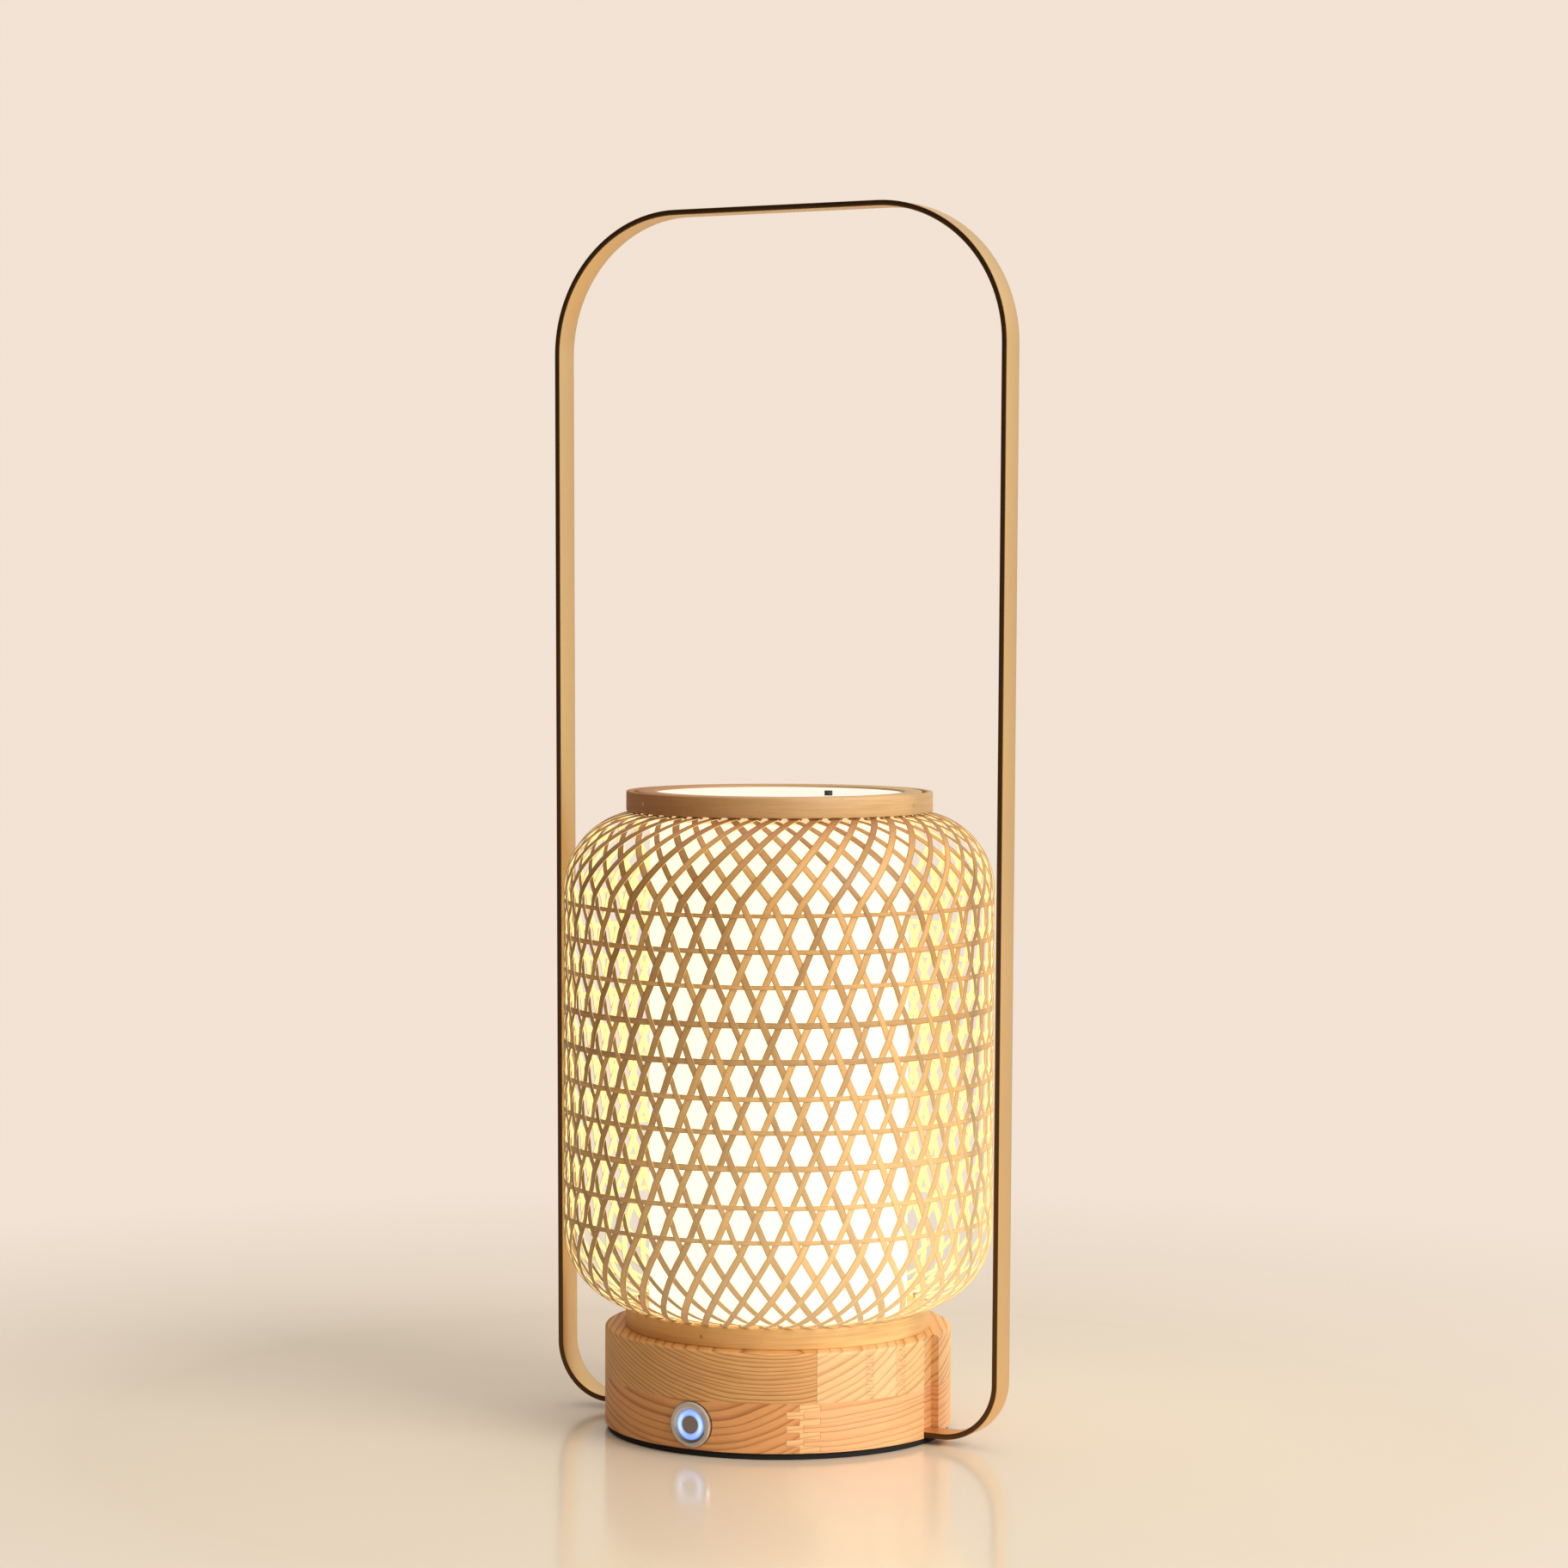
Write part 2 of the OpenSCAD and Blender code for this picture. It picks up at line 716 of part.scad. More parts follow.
module button_switch() {
    color(BLACK) at_button() difference() {
        union() {
            translate([0, 0, barrel_end_u]) cylinder(r = rear_bore_r - 0.1, h = switch_u - barrel_end_u);
            translate([0, 0, switch_end_u]) cylinder(r = rear_bore_r, h = barrel_end_u - switch_end_u);
        }
        translate([0, 0, switch_u - plunger_l - press]) cylinder(r = plunger_r + fit, h = 2 * plunger_l);
    }
}

module button_terminals() {
    color(GOLD) at_button() for (x = [-4, -1.5, 1.5, 4])
        translate([x - 0.4, -1.4, switch_end_u - 4]) cube([0.8, 2.8, 4]);
}

// Return spring: one open coil of round wire round the plunger
module button_spring() {
    coil_r = plunger_r + 1.4;
    sides = 6;
    ring_n = 12;
    rings = spring_turns * ring_n;
    rise = spring_l - spring_wire;
    points = [for (i = [0:rings], s = [0:sides - 1])
        let (t = 360 * i / ring_n, b = 360 * s / sides, r = coil_r + spring_wire / 2 * cos(b))
        [r * cos(t), r * sin(t), spring_wire / 2 * sin(b) + rise * i / rings]];
    sides_f = [for (i = [0:rings - 1], s = [0:sides - 1], h = [0, 1])
        let (n = (s + 1) % sides, a = i * sides, b = (i + 1) * sides)
        h == 0 ? [a + s, b + s, a + n] : [a + n, b + s, b + n]];
    first_f = [for (s = [1:sides - 2]) [0, s, s + 1]];
    last_f = [for (s = [1:sides - 2]) let (b = rings * sides) [b, b + s + 1, b + s]];
    color(STEEL) at_button() translate([0, 0, switch_u + spring_wire / 2 + layer_gap])
        polyhedron(points, concat(sides_f, first_f, last_f));
}

module button_light_ring() {
    back_u = collar_u - collar_t;
    color("#bfe0ff") at_button() difference() {
        union() {
            translate([0, 0, back_u]) cylinder(d = light_ring_d, h = ring_front_u - back_u);
            translate([0, 0, back_u]) cylinder(r = collar_r, h = collar_t);
            translate([0, 0, back_u - plunger_l]) cylinder(r = plunger_r, h = plunger_l);
        }
        translate([0, 0, cap_front_u - cap_t]) cylinder(d = cap_d, h = cap_t + cut);
    }
}

module button_cap() {
    color("#a9a29a") at_button() translate([0, 0, cap_front_u - cap_t]) cylinder(d = cap_d, h = cap_t);
}

// ---- power ----

module battery_cells() {
    color("#3f6f9f") for (y = cell_y)
        translate([-cell_l / 2, y, cell_z]) rotate([0, 90, 0]) {
            cylinder(d = cell_d, h = cell_l);
            translate([0, 0, cell_l]) cylinder(d = 6, h = 1);
        }
}

module battery_tray() {
    wall_y1 = cell_y[1] + cell_d / 2 + 2;
    wall_y0 = cell_y[0] - cell_d / 2 - 2;
    color(BLACK) difference() {
        union() {
            translate([-tray_x, tray_y0, tray_z]) cube([2 * tray_x, tray_y1 - tray_y0, tray_t]);
            translate([-tray_x, wall_y0, tray_z])
                cube([2 * tray_x, wall_y1 - wall_y0, tray_t + tray_wall_h]);
        }
        for (y = cell_y) translate([-cell_l / 2 - 1, y, cell_z]) rotate([0, 90, 0])
            cylinder(d = cell_d + 2 * fit, h = cell_l + 2.5);
        translate([-cell_l / 2 - 1, wall_y0 + 6, tray_top + 5])
            cube([cell_l + 2.5, wall_y1 - wall_y0 - 12, tray_wall_h]);
        tray_corners();
    }
}

// Cuts the tray's floor to the round pocket
module tray_corners() {
    difference() {
        translate([-base_r, 0, tray_z - cut]) cube([base_d, base_d, tray_t + 2 * cut]);
        translate([0, 0, tray_z - 2 * cut])
            cylinder(r = lower_pocket_r - 1, h = tray_t + 4 * cut);
    }
}

module driver_board() {
    color("#2f7d4f") translate([0, 0, tray_top]) {
        translate([-pcb_w / 2, pcb_y0, 0]) cube([pcb_w, pcb_y1 - pcb_y0, pcb_t]);
        translate([-tongue_w / 2, pcb_y1, 0])
            cube([tongue_w, plate_seat_y - 1 - pcb_y1, pcb_t]);
    }
}

module driver_parts() {
    color("#3a3a3a") translate([0, 0, pcb_top]) {
        translate([-4, 38, 0]) cube([6, 5, 1.6]);
        translate([6, 37, 0]) cube([4, 4, 1]);
        translate([-13, 40, 0]) cylinder(d = 6, h = 5);
        translate([16, 41, 0]) cylinder(d = 5, h = 6);
        translate([-21, 38, 0]) cube([3, 6, 2]);
    }
}

module port_recess() {
    translate([-plate_w / 2 - fit / 2, plate_seat_y, port_z - plate_h / 2 - fit / 2])
        cube([plate_w + fit, base_r, plate_h + fit]);
}

module port_plate() {
    color(BLACK) difference() {
        translate([-plate_w / 2, plate_seat_y, port_z - plate_h / 2]) cube([plate_w, plate_t, plate_h]);
        translate([0, plate_seat_y - cut, port_z]) rotate([-90, 0, 0])
            linear_extrude(plate_t + 2 * cut) stadium(port_w + fit, port_h + fit);
    }
}

module charge_port() {
    wall = 0.3;
    color(STEEL) translate([0, port_y0, port_z]) rotate([-90, 0, 0]) {
        difference() {
            linear_extrude(port_l) stadium(port_w, port_h);
            translate([0, 0, 1]) linear_extrude(port_l) stadium(port_w - 2 * wall, port_h - 2 * wall);
        }
        translate([-3.3, -0.35, 0.5]) cube([6.6, 0.7, port_l - 1.2]);
    }
}

module both_sides() {
    children();
    mirror([1, 0, 0]) children();
}

module led_leads() {
    color("#b03030") both_sides()
        wire([[lead_out, 0, led_board_top + wire_r], [2.2, 0, led_board_top + 1.5],
            [2.2, 0, wire_z], [4, lead_in_y, wire_z],
            [led_lead_x, lead_y, pcb_top + lead_drop], [led_lead_x, lead_y, pcb_top]]);
}

module battery_leads() {
    color("#303030") both_sides()
        wire([[cell_l / 2 + 2, lead_out, cell_z + 4], [cell_l / 2 + lead_out, 2 * lead_out, cell_z + 5],
            [cell_l / 2, lead_in_y + 2, cell_z], [battery_lead_x, lead_y, pcb_top + lead_drop],
            [battery_lead_x, lead_y, pcb_top]]);
}

module button_leads() {
    y0 = -base_r - switch_end_u + 4;
    color("#b8b8b8") both_sides()
        wire([[4, y0, button_z], [4, y0 + 2, button_z], [nut_side - 0.5, y0 + lead_out, button_z + 5],
            [nut_side + 0.5, y0 + 8, wire_z], [button_lead_x + 1, lead_in_y, wire_z],
            [button_lead_x, lead_y - 1, pcb_top + lead_drop + 1], [button_lead_x, lead_y - 1, pcb_top]]);
}

hoop_handle();
hoop_screws();
lower_base_board();
upper_base_board();
bottom_cover();
cover_screws();
foot_pad();
lower_ring();
lower_inner_hoop();
upper_ring();
upper_inner_hoop();
ring_nails();
shade_screws();
weave_right();
weave_left();
weave_hoops();
diffuser_tube();
diffuser_cap();
vent_plug();
diffuser_seat();
heat_spreader();
led_board();
led_chips();
led_screws();
button_bezel();
button_seal();
button_nut();
button_switch();
button_terminals();
button_spring();
button_light_ring();
button_cap();
battery_cells();
battery_tray();
driver_board();
driver_parts();
charge_port();
port_plate();
led_leads();
battery_leads();
button_leads();
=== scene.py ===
"""Dresses the lantern table lamp: its woven shade, bamboo rings, pine base, metal hoop, diffuser and button."""

import math

import bmesh
import bpy
from bpy.props import FloatProperty, FloatVectorProperty, IntProperty, PointerProperty
from mathutils import Matrix, Vector


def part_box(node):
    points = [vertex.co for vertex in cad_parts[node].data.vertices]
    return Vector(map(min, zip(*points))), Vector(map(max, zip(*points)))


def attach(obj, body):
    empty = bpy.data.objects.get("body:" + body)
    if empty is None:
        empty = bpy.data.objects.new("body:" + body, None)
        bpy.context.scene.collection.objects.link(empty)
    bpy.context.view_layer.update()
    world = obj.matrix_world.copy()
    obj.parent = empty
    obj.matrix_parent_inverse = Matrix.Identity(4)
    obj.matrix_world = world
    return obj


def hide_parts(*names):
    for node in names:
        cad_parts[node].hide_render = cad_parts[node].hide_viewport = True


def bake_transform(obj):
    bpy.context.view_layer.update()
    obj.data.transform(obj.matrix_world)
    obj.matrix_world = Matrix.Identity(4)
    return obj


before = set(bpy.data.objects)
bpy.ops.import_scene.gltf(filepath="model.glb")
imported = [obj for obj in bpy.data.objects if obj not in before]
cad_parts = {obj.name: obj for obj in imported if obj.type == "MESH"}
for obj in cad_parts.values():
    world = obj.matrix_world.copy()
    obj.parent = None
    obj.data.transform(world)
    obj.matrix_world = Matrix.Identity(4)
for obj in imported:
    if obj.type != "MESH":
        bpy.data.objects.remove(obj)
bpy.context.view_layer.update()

bl_info = {
    "name": "Lantern table lamp",
    "version": (1, 0, 0),
    "blender": (4, 5, 0),
    "location": "3D View > Sidebar > Lantern",
    "description": "Makes the looks of a woven table lantern round its fixed frame",
    "category": "Object",
}


def box(node):
    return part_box(node)


# Sizes that the frame gives, in metres
RING_R = box("upper_ring")[1].x
LOW_RING = (box("lower_ring")[0].z, box("lower_ring")[1].z)
HIGH_RING = (box("upper_ring")[0].z, box("upper_ring")[1].z)
SHADE_MID = (LOW_RING[1] + HIGH_RING[0]) / 2
GLUE_Z = box("upper_base_board")[0].z
HOOP_BOX = box("hoop_handle")

# Sizes in metres, steps along each curve, and numbers of the stage
CLAMP_DEPTH = 0.00085  # of the strips' middle, inside the outer band
EASE_LENGTH = 0.006  # over which the strips' swing ends at a shoulder
STRIP_STEPS = 190
EDGE_STEPS = 3
BEND_STEPS = 28  # in a quarter turn of the hoop
CIRCLE_STEPS = 160
SHARP = math.radians(35)  # turn at which an edge is sharp
NAIL_LENGTH = 0.0055
NAIL_SINK = 0.00005  # of the head's middle, into the band's face
GLOW_R = 0.05  # from the axis, where the glow of the diffuser's cap is full
HALO = (0.0047, 0.0012)  # middle and half width of the bright line in the button's ring
HAZE = (0.28, 0.40)  # where the floor's haze starts, from the lamp's axis, and how far on it is full
BACKDROP = (0.89, 0.765, 0.655)
LIGHT_AIM = Vector((0.0, 0.0, 0.2))  # which the soft lights face
UNIT_RING = 10.0  # radius of a level strip before it is laid
PHOTO_WIDTH = 1824  # pixels
SENSOR_WIDTH = 36.0  # millimetres


def size_prop(name, description, default):
    return FloatProperty(name=name, description=description, default=default, unit="LENGTH")


def angle_prop(name, description, degrees):
    return FloatProperty(name=name, description=description, default=math.radians(degrees), subtype="ANGLE")


def number_prop(name, description, default):
    return FloatProperty(name=name, description=description, default=default)


def count_prop(name, description, default, least):
    return IntProperty(name=name, description=description, default=default, min=least)


def colour_prop(name, description, default):
    return FloatVectorProperty(name=name, description=description, default=default, subtype="COLOR")


def scaled(base, *factors):
    """A colour whose channels are multiplied by one factor or by one each"""
    return [min(c * f, 1.0) for c, f in zip(base, factors * 3 if len(factors) == 1 else factors)]


class WeaveSizes(bpy.types.PropertyGroup):
    """Sizes of the woven shade"""

    radius: size_prop("Radius", "Outside radius of the shade at its middle", 0.0865)
    shoulder: size_prop("Shoulder", "Outside radius of the rounded shoulders", 0.032)
    copies: count_prop("Strips", "Slanted strips in each direction", 46, 8)
    hoops: count_prop("Level strips", "Level strips round the shade", 10, 1)
    pitch: size_prop("Pitch", "Height from one level strip to the next", 0.014)
    row_mid: size_prop("Row middle", "Height of the middle row of crossings", 0.150)
    turn: angle_prop("Turn", "Turn of the pattern about the shade's axis", 3.6)
    slope: angle_prop("Upper slant", "Slant of the strips on the upper shoulder", 38)
    low_slope: angle_prop("Lower slant", "Slant of the strips on the lower shoulder", 31)
    right_width: size_prop("Right width", "Width of the strips that lean right", 0.00275)
    left_width: size_prop("Left width", "Width of the strips that lean left", 0.0025)
    level_width: size_prop("Level width", "Width of the level strips", 0.0019)
    thickness: size_prop("Thickness", "Thickness of every strip", 0.0005)
    swing: size_prop("Swing", "How far a strip swings in and out as it crosses the others", 0.0003)
    clamp: size_prop("Clamped length", "Length of a strip's end inside a ring", 0.0055)


class HoopSizes(bpy.types.PropertyGroup):
    """Sizes of the metal hoop"""

    thickness: size_prop("Thickness", "Thickness of the flat bar", 0.0022)
    top_width: size_prop("Top width", "Outside width just below the upper bends", 0.2058)
    low_width: size_prop("Bottom width", "Outside width just above the lower bends", 0.2018)
    top_bend: size_prop("Upper bend", "Outside radius of the upper bends", 0.057)
    low_bend: size_prop("Lower bend", "Outside radius of the lower bends", 0.024)
    edge: size_prop("Edge", "Rounding of the bar's edges", 0.0003)


class RingSizes(bpy.types.PropertyGroup):
    """Sizes of the bamboo rings"""

    band: size_prop("Band", "Thickness of a ring's outer band", 0.0024)
    edge: size_prop("Edge", "Rounding of the bands' edges", 0.0004)
    nail: size_prop("Nail head", "Radius of a nail's head", 0.0009)
    nails: count_prop("Nails", "Nails in each ring", 3, 1)
    low_nail: angle_prop("Lower nail", "Where the first nail of the lower ring lies", 30)
    high_nail: angle_prop("Upper nail", "Where the first nail of the upper ring lies", -2)


class SpringSizes(bpy.types.PropertyGroup):
    """Sizes of the push button's return spring"""

    wire: size_prop("Wire", "Thickness of the spring's wire", 0.0006)
    turns: number_prop("Turns", "Turns of the spring", 3.5)


class LampColours(bpy.types.PropertyGroup):
    """Colours of the lamp's finishes"""

    pine: colour_prop("Pine", "Pale wood of the base", (0.80, 0.43, 0.165))
    grain: colour_prop("Grain", "Dark lines in the base's wood", (0.26, 0.085, 0.018))
    bamboo: colour_prop("Bamboo", "Bamboo of the rings", (0.86, 0.58, 0.26))
    strip: colour_prop("Strips", "Outer skin of the split bamboo in the weave", (0.44, 0.215, 0.055))
    pith: colour_prop("Pith", "Inner face of the split bamboo", (0.86, 0.70, 0.33))
    gold: colour_prop("Hoop", "Champagne coat of the metal hoop", (0.79, 0.53, 0.25))
    glow: colour_prop("Glow", "Light of the diffuser", (1.0, 0.92, 0.72))
    ring_light: colour_prop("Button light", "Light of the ring in the button", (0.06, 0.19, 0.76))


class StageSizes(bpy.types.PropertyGroup):
    """Camera and lights"""

    azimuth: angle_prop("Azimuth", "Where the camera stands, round from the front", 29.0)
    distance: size_prop("Distance", "From the lamp's axis to the camera", 1.6683)
    height: size_prop("Height", "Height of the camera above the table", 0.3353)
    pitch: angle_prop("Pitch", "How far the camera looks down", 2.61)
    pan: angle_prop("Pan", "How far the camera looks past the axis", -0.06)
    roll: angle_prop("Roll", "Roll of the camera", 0.17)
    focal: number_prop("Focal length", "In pixels of the photograph, which is 1824 wide", 4841.4)
    glow: number_prop("Glow", "Strength of the diffuser's light", 1.08)


# ---- node trees ----


class Wire:
    """One output of a node. Sums and products of wires add Math nodes to its tree."""

    def __init__(self, graph, socket):
        self.graph = graph
        self.socket = socket

    def out(self, name):
        """Another output of the same node"""
        return Wire(self.graph, next(s for s in self.socket.node.outputs if s.name == name and s.enabled))

    def math(self, operation, *values):
        return self.graph.add("ShaderNodeMath", {"operation": operation}, *values)

    def __add__(self, other):
        return self.math("ADD", self, other)

    __radd__ = __add__

    def __mul__(self, other):
        return self.math("MULTIPLY", self, other)

    __rmul__ = __mul__

    def __sub__(self, other):
        return self.math("SUBTRACT", self, other)

    def __rsub__(self, other):
        return self.math("SUBTRACT", other, self)

    def __truediv__(self, other):
        return self.math("DIVIDE", self, other)

    def __neg__(self):
        return self * -1

    def __pow__(self, other):
        return self.math("POWER", self, other)

    def __abs__(self):
        return self.math("ABSOLUTE", self)

    def __gt__(self, other):
        return self.math("GREATER_THAN", self, other)

    def __lt__(self, other):
        return self.math("LESS_THAN", self, other)

    def fn(self, operation, *others):
        """A Math node's function of this wire, such as SINE, or of it and one more value"""
        return self.math(operation, self, *others)

    def clamp(self, low=0.0, high=1.0):
        return self.fn("MAXIMUM", low).fn("MINIMUM", high)


class Graph:
    """A node tree that is filled by one call for each node"""

    def __init__(self, tree):
        self.tree = tree

    def add(self, kind, settings=None, *values, **named):
        """Adds a node, sets it, fills its inputs in order or by name, and returns its first output"""
        node = self.tree.nodes.new(kind)
        for key, value in (settings or {}).items():
            if key == "stops":
                ramp = node.color_ramp
                while len(ramp.elements) < len(value):
                    ramp.elements.new(0.5)
                for element, (stop, colour) in zip(ramp.elements, value):
                    element.position = stop
                    element.color = (*colour, 1.0)
            else:
                setattr(node, key, value)
        sockets = [s for s in node.inputs if s.enabled]
        pairs = list(zip(sockets, values))
        for name, value in named.items():
            pairs.append((next(s for s in sockets if s.name == name.replace("_", " ")), value))
        for socket, value in pairs:
            if isinstance(value, Wire):
                self.tree.links.new(value.socket, socket)
            elif socket.type == "RGBA":
                socket.default_value = (*value[:3], 1.0)
            else:
                socket.default_value = value
        shown = [s for s in node.outputs if s.enabled]
        return Wire(self, shown[0]) if shown else node

    def split(self, vector):
        xyz = self.add("ShaderNodeSeparateXYZ", None, vector)
        return xyz.out("X"), xyz.out("Y"), xyz.out("Z")

    def join(self, x, y, z):
        return self.add("ShaderNodeCombineXYZ", None, x, y, z)

    def mix(self, share, low, high):
        """A colour between two"""
        return self.add("ShaderNodeMix", {"data_type": "RGBA"}, share, low, high)

    def noise(self, vector, scale, detail=3.0, rough=0.5):
        return self.add("ShaderNodeTexNoise", None, Vector=vector, Scale=scale, Detail=detail, Roughness=rough)

    def chance(self, value):
        """A number from 0 to 1 that belongs to a whole number"""
        return self.add("ShaderNodeTexWhiteNoise", {"noise_dimensions": "1D"}, W=value).out("Value")

    def bump(self, height, strength, distance):
        return self.add("ShaderNodeBump", None, Strength=strength, Distance=distance, Height=height)

    def surface(self, **inputs):
        return self.add("ShaderNodeBsdfPrincipled", None, **inputs)

    def store(self, geometry, name, value, kind="FLOAT", domain="POINT"):
        """Keeps a value on each point or copy under a name"""
        return self.add("GeometryNodeStoreNamedAttribute", {"data_type": kind, "domain": domain},
                        Geometry=geometry, Name=name, Value=value)


def growth_tree(name, floats, counts=()):
    """A Geometry Nodes tree with named inputs, and its wires by name"""
    tree = bpy.data.node_groups.new(name, "GeometryNodeTree")
    tree.interface.new_socket("Geometry", in_out="OUTPUT", socket_type="NodeSocketGeometry")
    labels = {"Geometry": ["Geometry"], "Int": counts, "Float": floats, "Material": ["Material"]}
    for kind in labels:
        for label in labels[kind]:
            tree.interface.new_socket(label, in_out="INPUT", socket_type="NodeSocket" + kind)
    graph = Graph(tree)
    entry = tree.nodes.new("NodeGroupInput")
    wires = {s.name: Wire(graph, s) for s in entry.outputs if s.name}
    return graph, wires


def finish_tree(graph, wires, geometry):
    """Ends a tree in Realize Instances and Set Material"""
    solid = graph.add("GeometryNodeRealizeInstances", None, geometry)
    painted = graph.add("GeometryNodeSetMaterial", None, Geometry=solid, Material=wires["Material"])
    graph.add("NodeGroupOutput", None, painted)


def grow(name, tree, values, data=None):
    """Runs a tree on a new object with the given inputs. The result is a plain mesh object at the origin, its
    faces pointing outwards and its edges sharp where they turn."""
    seed = bpy.data.objects.new(name + "_source", data or bpy.data.meshes.new(name + "_source"))
    bpy.context.scene.collection.objects.link(seed)
    modifier = seed.modifiers.new("Grow", "NODES")
    modifier.node_group = tree
    places = {item.name: item.identifier for item in tree.interface.items_tree if item.in_out == "INPUT"}
    for label, value in values.items():
        modifier[places[label]] = value
    depsgraph = bpy.context.evaluated_depsgraph_get()
    mesh = bpy.data.meshes.new_from_object(seed.evaluated_get(depsgraph), depsgraph=depsgraph)
    bpy.data.objects.remove(seed)
    form = bmesh.new()
    form.from_mesh(mesh)
    bmesh.ops.remove_doubles(form, verts=form.verts, dist=1e-7)
    bmesh.ops.recalc_face_normals(form, faces=form.faces)
    form.to_mesh(mesh)
    form.free()
    mesh.shade_smooth()
    mesh.set_sharp_from_angle(angle=SHARP)
    piece = bpy.data.objects.new(name, mesh)
    bpy.context.scene.collection.objects.link(piece)
    return piece


def strip_profile(graph):
    """A unit outline from -1 to 1 each way with eased corners"""
    square = graph.add("GeometryNodeCurvePrimitiveQuadrilateral", None, Width=2.0, Height=2.0)
    return graph.add("GeometryNodeFilletCurve", {"mode": "POLY"}, Curve=square, Count=1, Radius=0.4)


def many_strips(graph, strip, count, seed):
    """Copies of a strip, the number of each copy, and a function that draws a number for each of them"""
    points = graph.add("GeometryNodePoints", None, Count=count)
    copies = graph.add("GeometryNodeInstanceOnPoints", None, Points=points, Instance=strip)
    copies = graph.store(copies, "strip", graph.add("GeometryNodeInputIndex"), domain="INSTANCE")
    copies = graph.add("GeometryNodeRealizeInstances", None, copies)
    index = graph.add("GeometryNodeInputNamedAttribute", {"data_type": "FLOAT"}, Name="strip")

    def rnd(low, high, salt):
        return graph.add("FunctionNodeRandomValue", {"data_type": "FLOAT"}, Min=low, Max=high, ID=index,
                         Seed=seed + salt)

    return copies, index, rnd


def lay_strips(graph, wires, copies, grain, face, where):
    """Keeps what the finish needs to know of each point, and lays the points round the shade's axis"""
    copies = graph.store(copies, "grain", grain, "FLOAT_VECTOR")
    copies = graph.store(copies, "face", face)
    radius, angle, height = where
    laid = graph.add("GeometryNodeSetPosition", None, Geometry=copies,
                     Position=graph.join(radius * angle.fn("COSINE"), radius * angle.fn("SINE"), height))
    finish_tree(graph, wires, laid)
    return graph.tree


def slanted_tree():
    """One family of slanted strips, laid over a shell that is straight in the middle and has round shoulders"""
    floats = ["Hand", "Shell Radius", "Shoulder Radius", "Half Height", "Clamp Radius", "Clamp Length", "Middle",
              "Row Middle", "Slant", "Upper Slant", "Lower Slant", "Turn", "Width", "Thickness", "Swing",
              "Unevenness"]
    graph, w = growth_tree("slanted strips", floats, ["Copies", "Samples", "Seed"])
    add = graph.add
    arc_r = w["Shell Radius"] - w["Shoulder Radius"]
    last = ((w["Clamp Radius"] - arc_r) / w["Shoulder Radius"]).fn("ARCCOSINE")
    reach = w["Half Height"] + w["Shoulder Radius"] * last + w["Clamp Length"]
    line = add("GeometryNodeCurvePrimitiveLine", None, Start=graph.join(-reach, 0.0, 0.0),
               End=graph.join(reach, 0.0, 0.0))
    line = add("GeometryNodeResampleCurve", {"mode": "COUNT"}, Curve=line, Count=w["Samples"])
    strip = add("GeometryNodeCurveToMesh", None, Curve=line, Profile_Curve=strip_profile(graph), Fill_Caps=True)
    copies, index, rnd = many_strips(graph, strip, w["Copies"], w["Seed"])
    along, across, up = graph.split(add("GeometryNodeInputPosition"))
    side = along.fn("SIGN")
    far = abs(along)
    bend = ((far - w["Half Height"]) / w["Shoulder Radius"]).fn("MAXIMUM", 0.0).fn("MINIMUM", last)
    over = (far - w["Half Height"] - w["Shoulder Radius"] * last).fn("MAXIMUM", 0.0)
    radius = arc_r + w["Shoulder Radius"] * bend.fn("COSINE")
    straight = side * far.fn("MINIMUM", w["Half Height"])
    rise = side * (w["Shoulder Radius"] * bend.fn("SINE") + over)
    lift = w["Row Middle"] - w["Middle"]
    tan1 = w["Slant"].fn("TANGENT")
    above = along > 0.0
    tan2 = w["Upper Slant"].fn("TANGENT") * above + w["Lower Slant"].fn("TANGENT") * (1 - above)
    swept1 = ((straight - lift) * tan1 / w["Shell Radius"]).fn("ARCSINE")
    swept2 = (rise * tan2 / radius).fn("ARCSINE")
    swept = swept1 + swept2
    clamped = over > 1e-5
    on_shoulder = far > w["Half Height"]
    steep1 = tan1 / swept1.fn("COSINE")
    turned = w["Shoulder Radius"] * bend.fn("SINE") ** 2 / radius
    steep2 = tan2 * ((bend.fn("COSINE") + turned) * (1 - clamped) + clamped) / swept2.fn("COSINE")
    tilt = w["Hand"] * (steep1 * (1 - on_shoulder) + steep2 * on_shoulder).fn("ARCTANGENT")
    face = bend * (1 - clamped)
    shoulder_share = ((far - w["Half Height"]) / EASE_LENGTH + 0.5).clamp()
    wave = (swept * 2 * w["Copies"]).fn("COSINE")
    wave = wave * (1 - shoulder_share) + shoulder_share
    depth = w["Hand"] * w["Swing"] * wave + up * w["Thickness"] / 2
    wander = graph.noise(graph.join(along * 25, index * 7.3, w["Hand"] * 5), 1.0, 1.0) - 0.5
    width = w["Width"] * rnd(0.82, 1.2, 1) * (1 + 0.25 * wander)
    shift = across * width / 2 + wander * w["Unevenness"] + rnd(-0.5, 0.5, 2) * w["Unevenness"]
    radius = radius + shift * tilt.fn("SINE") * side * face.fn("SINE") + depth * face.fn("COSINE")
    height = w["Middle"] + straight + rise - shift * tilt.fn("SINE") * face.fn("COSINE")
    height = height + depth * side * face.fn("SINE")
    angle = w["Turn"] + index * math.tau / w["Copies"] + w["Hand"] * swept + shift * tilt.fn("COSINE") / radius
    grain = graph.join(along, across, rnd(0.0, 1.0, 3))
    return lay_strips(graph, w, copies, grain, up, (radius, angle, height))


